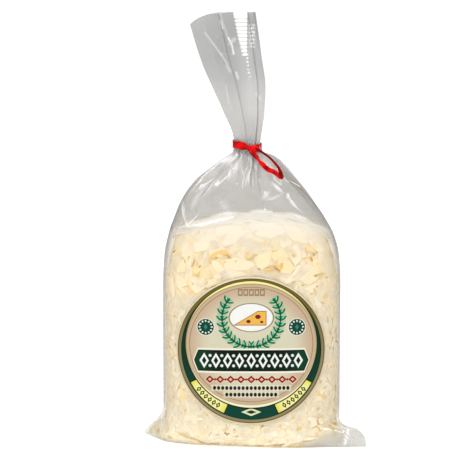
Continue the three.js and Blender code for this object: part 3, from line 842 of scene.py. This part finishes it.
# Each kind of pressed flake: its name, cheese, count, sides, rings, thickness, raggedness, spans of height,
# half length, half width and depth, tilt, tints, nearest place to the film, and chosen flakes.
KINDS = (
    ("large", "flakes", 330, 9, 4, 0.6, 0.25, [(88, 150), (9, 19), (5, 10), (-0.1, 0.6)], 0.035,
     (0, 0.5, 2), 0.6),
    ("front", "flakes", 60, 7, 4, 0.5, 0.2, [(96, 140), (7, 12), (3, 6), (-0.4, -0.2)], 0.02,
     (0, 0.3, 2), 0.3, FRONT_FLAKES),
    ("slivers", "flakes", 60, 7, 2, 0.2, 0.4, [(84, 142), (1.5, 4), (0.7, 1.8), (-0.6, -0.4)], 0.02,
     (0.4, 1.2, 1), 0.08, GAP_SHADE_SLIVERS),
    # the under flakes lie deeper, tinted yellow to orange as painted shade in the gaps between the flakes in
    # front
    ("under", "flakes", 420, 11, 3, 0.6, 0.3, [(80, 141), (5, 12), (3, 6), (0.8, 2.2)], 0.1,
     (0.1, 1.0, 1.5), 0.6),
    ("small", "packed", 2600, 9, 2, 0.5, 0.3, [(0, 102), (3, 7.5), (2.2, 4.8), (-0.1, 0.8)], 0.05,
     (0, 1, 1), 0.35),
    ("crumbs", "rind", 120, 7, 2, 0.2, 0.4, [(0, 24), (0.7, 1.7), (0.4, 1.0), (-0.7, -0.5)], 0.02,
     (-0.4, 0.8, 1), 0.08, CRUMBS),
    ("marks", "rind", 40, 7, 2, 0.2, 0.4, [(24, 96), (0.7, 1.7), (0.4, 0.9), (-0.7, -0.5)], 0.02,
     (-0.4, 1.0, 1), 0.08, MARKS),
)


def make_top_flakes(material):
    """Loose flakes on top of the heap, each tipped its own way and curled, sunk a little into the others.
    Their middles lie in the superellipse |x / 50| ** 2.5 + |y / 23| ** 2.5 = 1, their edges in the film."""
    sides, rings, count = 9, 4, 260
    x0, y0 = rng.uniform(-50, 47, count), rng.uniform(-22, 22, count)
    inside = (np.abs(x0 / 50) ** 2.5 + np.abs(y0 / 23) ** 2.5) < 1
    x0, y0 = x0[inside], y0[inside]
    count = len(x0)
    a, b = flake_outlines(count, sides, rings, 0.3)
    length, width = rng.uniform(9, 17, count)[:, None], rng.uniform(6, 11, count)[:, None]
    a, b = a * length, b * width
    bend = rng.normal(0, 0.15, count)[:, None] * (b / width) ** 2 * width * 0.5
    turn, lean = rng.uniform(0, 2 * math.pi, count), rng.normal(0, 0.07, count)
    along, aside = turned(a, b * np.cos(lean)[:, None], turn)
    up = b * np.sin(lean)[:, None] + bend
    x, y = x0[:, None] + along, y0[:, None] + aside
    level = heap_height(x0, y0)[:, None] - rng.uniform(0, 1.6, count)[:, None]
    z = level + up + heap_height(x, y) - heap_height(x0, y0)[:, None]
    left, right, half = station["left"](z) + 3.5, station["right"](z) - 3.5, station["depth"](z) - 2.5
    x = np.clip(x, left, right)
    reach = half * (1 - np.clip(np.abs(2 * (x - (left + right) / 2) / (right - left)), 0, 0.98) ** 2.5) ** 0.4
    y = np.clip(y, -reach, reach)
    thick = 0.45 * rng.uniform(0.7, 1.3, count)[:, None]
    face, back = np.stack([x, y, z], -1), np.stack([x, y, z - thick], -1)
    # tints near 0 keep the top flakes at the top's pale tones, which are painted light
    put_flakes("shavings_top", material, face, back, sides, rings, rng.uniform(-0.2, 0.2, count))


# --- the label ---
LABEL_SPAN = 100.0  # across the print's square, which is the label and a margin
LABEL_LIFTS = (0.12, 0.34)  # of its back and its face over the film


def front_point(x, z, lift):
    """The bag's front at x across and height z, moved outwards by lift."""
    a = (station["right"](z) - station["left"](z)) / 2
    middle = (station["right"](z) + station["left"](z)) / 2
    b, p = station["depth"](z), station["power"](z)
    share = np.abs((x - middle) / a)
    y = -b * (1 - share**p) ** (1 / p)
    slope = (b / a) * share ** (p - 1) * (-y / b) ** (1 - p)
    size = np.hypot(slope, 1)
    return np.stack([x + lift * np.sign(x - middle) * slope / size, y - lift / size, z + 0 * x], -1)


def make_label(material):
    """A thin round disc that follows the bag's front: rings out over the face, and back under it."""
    rings, around = 30, 144
    radius = np.linspace(0, LABEL_RADIUS, rings + 1)[1:]
    angle = np.arange(around) * 2 * math.pi / around
    x = radius[:, None] * np.cos(angle)
    z = LABEL_HEIGHT + radius[:, None] * np.sin(angle) / math.cos(CAMERA_ELEVATION)
    under, over = (front_point(x, z, lift) for lift in LABEL_LIFTS)
    middle = front_point(np.zeros(2), np.full(2, LABEL_HEIGHT), np.array(LABEL_LIFTS))
    points = np.vstack([np.concatenate([under, over[::-1]]).reshape(-1, 3), middle])
    tris = close_ends(2 * rings, around, len(points) - 2)
    uvs = np.stack([points[:, 0], points[:, 2] - LABEL_HEIGHT], -1) / LABEL_SPAN + 0.5
    piece = put_mesh("label", points, grid_quads(2 * rings, around), tris, uvs=uvs)
    finish_piece(piece, material, "label")


# --- the tie ---
TIE_SLANT = -0.12  # the band's rise to each millimetre across
TIE_CENTRE = -2.6  # the middle of the neck, across
KNOT = np.array([1.2, -9.3, 191.4])
KNOT_SIZE = (3.6, 2.1, 2.7)  # half lengths
RIBBON_SIDES = 12  # points round the strip
# The tail's loop, from the knot down and back.
LOOP = [
    (0.8, -10.0, 191.2), (0.4, -11.6, 190.2), (3.3, -13.4, 186.9), (6.8, -14.6, 182.8),
    (10.6, -15.6, 179.3), (14.8, -16.6, 177.7), (18.9, -17.6, 174.6), (17.5, -16.8, 179.4),
    (13.8, -15.2, 184.2), (9.3, -13.2, 188.0), (4.6, -11.2, 190.8),
]


def closed_curve(points, steps):
    """Places at even shares of a closed smooth curve through points (uniform Catmull-Rom), and tangents."""
    p = np.array(points, float)
    t = np.arange(steps) * len(p) / steps
    k, f = t.astype(int), (t % 1)[:, None]
    a, b, c, d = (p[(k + i) % len(p)] for i in (-1, 0, 1, 2))
    place = 0.5 * (2 * b + (c - a) * f + (2 * a - 5 * b + 4 * c - d) * f**2 + (3 * b - a - 3 * c + d) * f**3)
    slope = 0.5 * ((c - a) + 2 * (2 * a - 5 * b + 4 * c - d) * f + 3 * (3 * b - a - 3 * c + d) * f**2)
    return place, slope / np.linalg.norm(slope, axis=1, keepdims=True)


def ribbon(centre, wide, thin, width, thickness, cup=0.0):
    """A closed strip round a closed path: at each step a flat oval of RIBBON_SIDES points, width along wide
    and thickness along thin, its two edges raised by cup. The oval is the superellipse of power 4."""
    angle = np.arange(RIBBON_SIDES) * 2 * math.pi / RIBBON_SIDES + 0.13
    across = np.sign(np.cos(angle)) * np.abs(np.cos(angle)) ** 0.5
    through = np.sign(np.sin(angle)) * np.abs(np.sin(angle)) ** 0.5
    u = across[None, :, None] * (width / 2)[:, None, None]
    v = through[None, :, None] * thickness / 2 + cup * (across**2)[None, :, None]
    return centre[:, None] + u * wide[:, None] + v * thin[:, None]


def ribbon_quads(steps, first=0):
    """Quads of a strip that closes on itself."""
    k, c = np.mgrid[0:steps, 0:RIBBON_SIDES]
    low, high, beside = k * RIBBON_SIDES, (k + 1) % steps * RIBBON_SIDES, (c + 1) % RIBBON_SIDES
    return np.stack([low + c, low + beside, high + beside, high + c], -1).reshape(-1, 4) + first


def make_tie(material):
    """The band round the neck, pinched at the knot, the knot, and the tail: one long loop of the strip."""
    steps = 220
    turn = np.arange(steps) * 2 * math.pi / steps
    x, y, out_x, out_y = section(np.full(steps, TIE_MIDDLE), turn)
    x = x + (TIE_CENTRE - x) * cinch(TIE_MIDDLE)
    pinch = bump(turn_between(turn, math.atan2(KNOT[1], KNOT[0] - TIE_CENTRE)), 0.45)
    width = 5.0 - 3.0 * pinch + 0.25 * np.sin(5 * turn)
    lift = 0.45 + 1.4 * pinch
    z = TIE_MIDDLE + TIE_SLANT * (x - TIE_CENTRE) - 0.8 * pinch
    centre = np.stack([x + out_x * lift, y + out_y * lift, z], -1)
    thin = np.stack([out_x, out_y, 0.12 * np.sin(2 * turn)], -1)
    up = np.tile([0.0, 0.0, 1.0], (steps, 1))
    parts = [ribbon(centre, up, thin, width, 0.5, cup=0.25).reshape(-1, 3)]
    quads = [ribbon_quads(steps)]
    # painted shade: the band darkens in its wrinkles
    shade = [0.25 * np.abs(np.sin(1.5 * turn))]  # how dark the strip is, from one wrinkle to the next

    steps = 240
    place, along = closed_curve(LOOP, steps)
    share = np.arange(steps) / steps
    lean = 1.0 + 0.45 * np.sin(2 * math.pi * (share - 0.02)) - 0.5 * bump(share - 0.225, 0.04)
    flat = np.tile([0.0, -1.0, 0.0], (steps, 1))
    side = np.cross(along, flat)
    side /= np.linalg.norm(side, axis=1, keepdims=True)
    flat = np.cross(side, along)
    wide = np.cos(lean)[:, None] * flat + np.sin(lean)[:, None] * side
    thin = np.cross(along, wide)
    width = 3.1 - 0.5 * bump(share - 0.8, 0.14) - 1.3 * bump(share - 0.225, 0.03)
    parts.append(ribbon(place, wide, thin, width, 0.45, cup=0.3).reshape(-1, 3))
    quads.append(ribbon_quads(steps, len(parts[0])))
    # painted shade: the tail's upper strand is darker
    shade.append(0.15 + ramp(0.5, 0.62, share))

    rows, around = 25, 40
    pole = np.linspace(0, math.pi, rows)[:, None]
    angle = np.arange(around)[None, :] * 2 * math.pi / around
    wrap = 1 + 0.07 * np.sin(3 * angle + 2.5 * pole) + 0.05 * np.sin(7 * pole + angle)
    half_x, half_y, half_z = KNOT_SIZE
    knot = (np.cos(angle) * half_x * wrap, np.sin(angle) * half_y * wrap)
    knot = np.stack([*(np.sin(pole) * way for way in knot), -np.cos(pole) * half_z + 0 * angle], -1)
    first = sum(len(part) for part in parts)
    parts.append(knot[1:-1].reshape(-1, 3) + KNOT)
    quads.append(grid_quads(rows - 2, around, first=first))
    points = np.vstack([*parts, [KNOT - (0, 0, half_z)], [KNOT + (0, 0, half_z)]])
    tris = close_ends(rows - 2, around, len(points) - 2, first)
    shade = np.repeat(np.concatenate(shade), RIBBON_SIDES)
    shade = np.r_[shade, np.zeros(len(points) - len(shade))]
    piece = put_mesh("tie", points, np.vstack(quads), tris, shade=shade)
    finish_piece(piece, material, "tie")


# --- the materials ---
def film_material(name, edge, gloss):
    """Clear film: it lets light pass and veils what is behind it, by haze. The veil is cream over the cheese,
    greenish or grey in the ears, and painted a darker grey as shade above the cheese, in the gathered neck
    and in the fan. Folds and the crimp carry painted highlights, white lines and bars. The film darkens by
    edge where it turns away, and mirrors by gloss and more there."""
    paint = Paint(name)
    haze, white, above, crimp = (paint.attribute(value) for value in ("haze", "white", "above", "crimp"))
    across, _, height = paint.parts(paint.place())
    facing = paint.node("ShaderNodeLayerWeight", inputs={"Blend": 0.5}, output=1)
    clear = paint.node("ShaderNodeBsdfTransparent", inputs=((0.996, 0.995, 0.993, 1),))
    shade = paint.mix(above, (0.56, 0.52, 0.46, 1), (0.5, 0.5, 0.5, 1))
    dark = paint.node("ShaderNodeBsdfTransparent", inputs=(shade,))

    # the veil's tone: greenish in the left ear, grey in the right and cream over the cheese. Where no cheese
    # lies behind it, it is painted a darker grey as shade, lighter through the neck and darker again up the
    # fan.
    tone = paint.mix(across.ramp(-0.01, 0.01), (0.76, 0.77, 0.65, 1), (0.52, 0.52, 0.48, 1))
    tone = paint.mix(height.ramp(0.02, 0.04), tone, (0.78, 0.76, 0.7, 1))
    tone = paint.mix(above, tone, (0.285, 0.262, 0.225, 1))
    tone = paint.mix(height.ramp(0.165, 0.186), tone, (0.5, 0.49, 0.475, 1))
    tone = paint.mix(height.ramp(0.215, 0.25), tone, (0.375, 0.375, 0.37, 1))
    # painted highlight: white bars across the crimp's ribs, more white over the whole crimp, and the folds'
    # white lines
    ribs = abs((height + 0.0001).every(CRIMP_STEP * MM)).ramp(0.0011, 0.0002).most(height.ramp(0.2752, 0.2758))
    white = white.most(crimp * (0.25 * crimp + 0.1 + (0.9 - 0.25 * crimp) * ribs))
    # the painted highlights whiten the veil's tone
    tone = paint.mix(white, tone, (0.85, 0.85, 0.85, 1))
    veil = {"Base Color": tone, "Roughness": 0.5, "Specular IOR Level": 0.0}
    veil = paint.node("ShaderNodeBsdfPrincipled", inputs=veil)
    glossy = paint.node("ShaderNodeBsdfAnisotropic", inputs={"Color": (1, 1, 1, 1), "Roughness": 0.11})

    # how many layers lie behind each other where the film turns away
    gathered = 0.4 + 0.6 * height.ramp(0.004, 0.03) - 0.35 * height.ramp(0.13, 0.15)
    gathered = gathered - 0.35 * height.ramp(0.162, 0.182) + 0.7 * height.ramp(0.2, 0.215)
    seen = paint.node("ShaderNodeMixShader", inputs=((haze + white * 0.6).least(1.0), clear, veil))
    seen = paint.node("ShaderNodeMixShader", inputs=(facing**1.4 * edge * gathered, seen, dark))
    return paint.end(paint.node("ShaderNodeMixShader", inputs=(gloss + 0.4 * facing**5, seen, glossy)))


# Three tones of each kind of cheese, from cream to yellow, and two that follow them in all kinds. The
# inside's yellows and the flakes' deep orange are painted shade, seen in the gaps between flakes.
CHEESES = {
    # the core's yellows are painted shade, seen in the gaps between flakes
    "inside": [(250, 226, 172), (246, 220, 156), (244, 208, 134)],
    # the top's pale tones are painted light, brightening the heap's top
    "top": [(246, 236, 213), (245, 232, 203), (243, 224, 180)],
    "flakes": [(245, 229, 200), (242, 221, 172), (245, 196, 108)],
    "packed": [(241, 229, 203), (238, 225, 192), (237, 217, 178)],
    "rind": [(246, 236, 210), (232, 212, 160), (220, 186, 116)],
}
OLIVE, BROWN = (214, 190, 130), (176, 136, 88)


def cheese_material(name, tones, per_flake=True):
    """Hard cheese with soft cloudy patches and fine grain. A flake's tint takes it through its kind's three
    tones, and on to olive and brown; high tints on the deeper and the thin yellow flakes are painted shade in
    the gaps between flakes."""
    paint = Paint(name)
    place = paint.place()
    clouds = paint.noise(place, 90.0, 3.0)
    grain = paint.noise(place, 900.0, 3.0, 0.6)
    amount = (clouds - 0.5) * 0.5 + (grain - 0.5) * 0.25 + (paint.attribute("tint") if per_flake else 0.5)
    colour = srgb(*tones[0])
    for start, end, tone in zip((-0.2, 0.4, 1.05, 1.4), (0.45, 1.0, 1.35, 1.9), (*tones[1:], OLIVE, BROWN)):
        colour = paint.mix(amount.ramp(start, end), colour, srgb(*tone))
    inputs = {"Base Color": colour, "Roughness": 0.5 + 0.25 * grain, "Specular IOR Level": 0.35}
    inputs["Normal"] = paint.relief(grain + clouds, 0.3, 0.3)
    inputs |= {"Subsurface Weight": 0.25, "Subsurface Radius": (1.0, 0.85, 0.6), "Subsurface Scale": 0.0012}
    return paint.end_solid(inputs)


STUDIO_GAIN = 1.62  # the label is lit this much brighter than its own colours


def ink(red, green, blue):
    """A printed colour, given as it is seen in the studio's light."""
    *linear, alpha = srgb(red, green, blue)
    return (*(value / STUDIO_GAIN for value in linear), alpha)


def label_material():
    """The label's print, laid out in millimetres from its middle. Each shape is a distance, below 0 inside it,
    and is laid over those before it."""
    paint = Paint("label_print")
    u, v, _ = paint.parts(paint.node("ShaderNodeUVMap"))
    x, y = (u - 0.5) * LABEL_SPAN, (v - 0.5) * LABEL_SPAN
    colour = ink(238, 224, 184)

    def lay(mask, over):
        nonlocal colour
        colour = paint.mix(mask, colour, over)

    def fill(distance, seen, where=None, soft=0.15):
        """Lays a colour, as it is seen, inside a shape."""
        mask = distance.under(0, soft)
        lay(mask if where is None else mask * where, ink(*seen))

    def from_point(cx, cy):
        """Distance from a point."""
        return ((x - cx) ** 2 + (y - cy) ** 2) ** 0.5

    def ellipse(cx, cy, rx, ry):
        """Distance outside an ellipse, roughly."""
        return ((((x - cx) / rx) ** 2 + ((y - cy) / ry) ** 2) ** 0.5 - 1) * min(rx, ry)

    def lozenge(a, b, half_a, half_b):
        """Distance outside a lozenge, roughly, with its middle where a and b are 0."""
        return (abs(a) / half_a + abs(b) / half_b - 1) * min(half_a, half_b)

    def within(half, soft=0.05):
        """1 where x is nearer to the middle than half."""
        return abs(x).under(half, soft)

    ring = from_point(0, 0)
    downwards = abs(x.math("ARCTAN2", x, y * -1.0))  # angle from straight down, to either side
    band = ellipse(0, 4.2, 41.7, 41.0)
    disc = ellipse(0, 4.2, 41.3, 39.05)

    # the olive rim, darker at its two edges, and the green crescent inside it
    lay(ring.under(47.0), ink(104, 82, 44))
    lay(ring.under(46.35, 0.3), paint.mix(y.ramp(-10, 36), ink(152, 134, 98), ink(116, 103, 50)))
    lay(ring.under(45.5, 0.3), paint.mix(y.ramp(-10, 36), ink(140, 141, 104), ink(98, 86, 34)))
    lay(ring.under(44.75), ink(4, 22, 12))
    lay(ring.under(44.3, 0.2), paint.mix(y.ramp(-36, 4), ink(0, 66, 52), ink(0, 52, 26)))

    # two yellow plaques on the crescent, with a row of marks along each, and a pale lozenge at its foot
    aside = abs(downwards - 0.74)
    lay(aside.under(0.345, 0.004) * ring.under(44.75), ink(8, 12, 4))
    yellow = paint.mix(aside.ramp(0.2, 0.34), ink(250, 247, 160), ink(238, 228, 92))
    lay(aside.under(0.33, 0.004) * ring.under(43.9), yellow)
    along, between = (downwards * 44.0).every(3.4), band - 0.75 - (43.9 - ring)
    held = abs(downwards - 0.734).under(0.232, 0.004)
    fill(lozenge(along, between, 1.45, 4.2), (46, 34, 10), held)
    fill(lozenge(along, between, 0.55, 1.6), (250, 247, 160), held, soft=0.12)
    fill(lozenge(x, y + 39.7, 6.4, 2.6), (238, 236, 190))
    fill(lozenge(x, y + 39.7, 3.6, 1.3), (0, 60, 40))

    # the disc, between its black outline and its pale one, with a fine brown line inside its edge
    outline = y.ramp(16, -16) * 0.5 + 0.28
    fill(band - outline, (4, 14, 6), soft=0.12)
    lay(band.under(0), paint.mix(y.ramp(-10, 30), ink(252, 246, 210), ink(253, 243, 160)))
    lay((disc - 0.45).under(0, 0.2), paint.mix(y.ramp(-20, 30), ink(196, 176, 110), ink(150, 132, 84)))
    lay(disc.under(0, 0.2), paint.mix(disc.ramp(-15, -1), ink(222, 216, 188), ink(207, 180, 148)))
    lay(abs(disc + 1.9).under(0.22, 0.15) * 0.7, ink(120, 96, 60))

    # a wreath of leaves, open at the top, on a paler green: a leaf leans outwards from the stem on either side
    wreath_y, wreath_radius = 21.5, 18.6
    swing = abs(x.math("ARCTAN2", x, wreath_y - y))  # from straight down, to either side
    off_stem = abs(from_point(0, wreath_y) - wreath_radius)
    lay(off_stem.under(3.3, 0.3) * swing.under(2.34, 0.02) * 0.55, ink(150, 190, 150))
    wreath = swing.under(2.32, 0.01)
    step = (swing * wreath_radius).every(4.05)
    leaf_u, leaf_v = step * 0.62 + off_stem * 0.78, off_stem * 0.62 - step * 0.78
    leaf = (((leaf_u - 1.9) / 2.5) ** 2 + (leaf_v / 1.15) ** 2) ** 0.5
    lay(leaf.under(1.2, 0.1) * wreath, ink(6, 66, 36))
    lay(leaf.under(0.8, 0.15) * wreath, ink(28, 140, 92))
    vein = (((leaf_u - 2.1) / 1.1) ** 2 + (leaf_v / 0.3) ** 2) ** 0.5
    lay(vein.under(1, 0.3) * wreath, ink(150, 238, 196))
    lay(off_stem.under(0.4, 0.15) * wreath, ink(8, 74, 42))

    # in it a wedge of cheese on a white ground
    ground = ellipse(0, 21.8, 13.6, 8.8)
    fill(ground - 0.6, (150, 132, 96), soft=0.2)
    fill(ground, (250, 250, 246), soft=0.2)
    wedge = (abs(y - 21.4) - 4.3).most((y - 17.1) - (x + 10.2) * 0.6).most(x - 9.2)
    fill(wedge - 0.4, (130, 30, 26))
    fill(wedge, (244, 190, 84))
    for hole in ((4.2, 22.3, 1.8, 1.4), (-1.8, 19.3, 1.4, 1.1), (6.6, 19.0, 1.0, 0.8)):
        fill(ellipse(*hole), (130, 30, 26))

    # brown squares over the wreath, and a green rosette to either side of it
    square = abs((abs(x.every(3.5)) / 1.15).most(abs(y - 38.0) / 1.7) - 1).under(0.3, 0.15)
    lay(square * within(8.75) * 0.8, ink(138, 106, 72))
    rosette_x, rosette_y = abs(x) - 29.0, y - 15.5
    rosette = (rosette_x**2 + rosette_y**2) ** 0.5
    around = x.math("ARCTAN2", rosette_x, rosette_y)
    lay(rosette.under(5.7, 0.3), ink(236, 240, 222))
    lay(rosette.under(5.2), ink(10, 40, 22))
    fill(lozenge((around * 3.9).every(2.04), rosette - 3.9, 0.7, 0.9), (214, 240, 222))
    lay(rosette.under(2.9), ink(0, 70, 56))
    fill(lozenge(rosette_x, rosette_y, 1.2, 1.8), (60, 130, 110))

    # the dark banner, pointed at both ends, with white lozenges and beads
    banner_y, step = -6.2, 7.5
    up = abs(y - banner_y)
    tip = abs(x) - 36.6 + up * 0.4
    fill((tip - 0.7).most(up - 8.0), (250, 246, 226), soft=0.2)
    banner = tip.most(up - 6.9)
    fill(banner, (0, 22, 12), soft=0.12)
    lay(banner.under(-0.7, 0.2), paint.mix(abs(x).ramp(20, 37), ink(0, 26, 16), ink(6, 66, 34)))
    fill(lozenge(x.every(step), up, 3.0, 5.0), (248, 250, 246), within(33.9))
    fill(lozenge(x.every(step), up, 1.5, 2.6), (0, 30, 18), within(33.9))
    bead = ((x + step / 2).every(step) ** 2 + (up - 3.3) ** 2) ** 0.5
    lay(bead.under(0.95, 0.15) * within(31), ink(236, 244, 236))

    # under it a row of red lozenges and beads, and two rows of black beads on a pale ground
    red_y, step = -18.4, 6.6
    lozenges = lozenge(x.every(step), y - red_y, 2.9, 2.6)
    fill(lozenges - 0.5, (246, 224, 196), within(29.7), soft=0.25)
    fill(lozenges, (146, 20, 18), within(29.7))
    fill(lozenge(x.every(step), y - red_y, 1.2, 1.1), (226, 196, 170), within(29.7))
    bead = ((x + step / 2).every(step) ** 2 + (y - red_y) ** 2) ** 0.5
    lay(bead.under(0.75, 0.15) * within(26.6), ink(146, 20, 18))
    for row_y, half in ((-24.0, 24.7), (-28.3, 16.9)):
        ground = (abs(x) - half - 0.8).most(abs(y - row_y) - 2.0)
        fill(ground, (240, 240, 218), 0.6, soft=0.6)
        bead = (((x.every(2.6) / 1.02) ** 2 + ((y - row_y) / 1.3) ** 2) ** 0.5).under(1, 0.12)
        lay(bead * within(half), ink(24, 28, 20))

    return paint.end_solid({"Base Color": colour, "Roughness": 0.5, "Specular IOR Level": 0.08})


def tie_material():
    """Red satin ribbon with fine ribs and painted shade: darker in its wrinkles and on the tail's upper
    strand, by the piece's shade attribute, and in broad patches.
    """
    paint = Paint("tie_ribbon")
    place = paint.place()
    weave = paint.noise(place, 1500.0, 2.0)
    # painted shade in broad patches, and by the piece's shade attribute
    shade = paint.noise(place, 260.0, 2.0) - 0.2 * paint.attribute("shade")
    red = paint.mix(weave, srgb(184, 1, 2), srgb(214, 8, 6))
    colour = paint.mix(shade.ramp(0.3, 0.6), srgb(112, 0, 1), red)
    inputs = {"Base Color": colour, "Roughness": 0.45, "Specular IOR Level": 0.06}
    return paint.end_solid({**inputs, "Normal": paint.relief(weave, 0.25, 0.2)})


def stage_material():
    """The pale floor: it glows a little, as a lit sweep does, and still takes a soft shadow."""
    inputs = {"Base Color": (0.8, 0.8, 0.8, 1), "Roughness": 0.7, "Emission Color": (1, 1, 1, 1)}
    return Paint("stage_pale").end_solid({**inputs, "Emission Strength": 0.55})


# --- the stage ---
PHOTO_SIDE = 470  # pixels of the photograph, each way
MM_PER_PIXEL = 0.647  # at the bag's middle
BASE_PIXEL = (251.0, 441.0)  # the middle of the base in the photograph
CAMERA_ELEVATION = math.radians(8.6)
LENS = 135.0
SENSOR = 36.0


def make_camera():
    """Stands so that a millimetre at the bag's middle is 1 / MM_PER_PIXEL pixels and the base's middle is at
    BASE_PIXEL."""
    camera = bpy.data.objects.new("camera", bpy.data.cameras.new("camera"))
    bpy.context.scene.collection.objects.link(camera)
    camera.data.lens, camera.data.sensor_width = LENS, SENSOR
    distance = MM_PER_PIXEL * PHOTO_SIDE * LENS / SENSOR
    centre = PHOTO_SIDE / 2
    aim_x = (centre - BASE_PIXEL[0]) * MM_PER_PIXEL
    aim_z = (BASE_PIXEL[1] - centre) * MM_PER_PIXEL / math.cos(CAMERA_ELEVATION)
    back = Vector((0, -math.cos(CAMERA_ELEVATION), math.sin(CAMERA_ELEVATION)))
    camera.location = (Vector((aim_x, 0, aim_z)) + back * distance) * MM
    camera.rotation_mode = "QUATERNION"
    camera.rotation_quaternion = (-back).to_track_quat("-Z", "Y")
    camera.data.clip_start, camera.data.clip_end = 0.01, 50
    bpy.context.scene.camera = camera


def area_light(name, place, aim, size, power):
    """A rectangular light, size wide and high in metres, at place and facing aim."""
    data = bpy.data.lights.new(name, "AREA")
    data.shape, data.size, data.size_y, data.energy = "RECTANGLE", *size, power
    light = bpy.data.objects.new(name, data)
    light.location = place
    light.rotation_mode = "QUATERNION"
    light.rotation_quaternion = (Vector(aim) - Vector(place)).to_track_quat("-Z", "Y")
    bpy.context.scene.collection.objects.link(light)


FLOOR_SIDE, FLOOR_DROP = 3000.0, 0.05  # half its length, and how far it lies under the bag
# Each light's place, size in metres and power.
LIGHTS = {
    "key_left": ((-0.75, -0.75, 1.35), (0.5, 0.5), 11.0),
    "key_right": ((0.75, -0.6, 1.2), (0.25, 0.6), 6.0),
    "top": ((0.0, -0.3, 1.3), (0.5, 0.4), 5.0),
}


def make_stage():
    """The floor, a white world that is brighter where the camera sees it, and the lights."""
    corners = np.array([[-1, -1], [1, -1], [1, 1], [-1, 1]]) * FLOOR_SIDE
    floor = put_mesh("floor", np.c_[corners, np.full(4, -FLOOR_DROP)], [[0, 1, 2, 3]])
    floor.data.materials.append(stage_material())
    world = bpy.data.worlds.new("studio")
    world.use_nodes = True
    nodes, links = world.node_tree.nodes, world.node_tree.links
    seen = nodes.new("ShaderNodeLightPath")
    strength = nodes.new("ShaderNodeMapRange")
    strength.inputs["To Min"].default_value, strength.inputs["To Max"].default_value = 0.75, 1.05
    links.new(seen.outputs["Is Camera Ray"], strength.inputs["Value"])
    links.new(strength.outputs["Result"], nodes["Background"].inputs["Strength"])
    nodes["Background"].inputs["Color"].default_value = (1, 1, 1, 1)
    bpy.context.scene.world = world
    for name, (place, size, power) in LIGHTS.items():
        area_light(name, place, (0, 0, 0.13), size, power)
    view = bpy.context.scene.view_settings
    view.view_transform = "Standard"
    view.look = "None"
    bpy.context.scene.cycles.transparent_max_bounces = 64


# --- the assembly ---
make_camera()
make_stage()

make_film_body(film_material("film_filled", edge=0.9, gloss=0.02))
make_film_mouth(film_material("film_folded", edge=0.2, gloss=0.04))

cheese = {name: cheese_material("cheese_" + name, tones, name != "inside") for name, tones in CHEESES.items()}
make_cheese_core(cheese["inside"])
for kind, made_of, *form in KINDS:
    pressed_flakes("shavings_" + kind, cheese[made_of], *form)
make_top_flakes(cheese["top"])
make_label(label_material())
make_tie(tie_material())
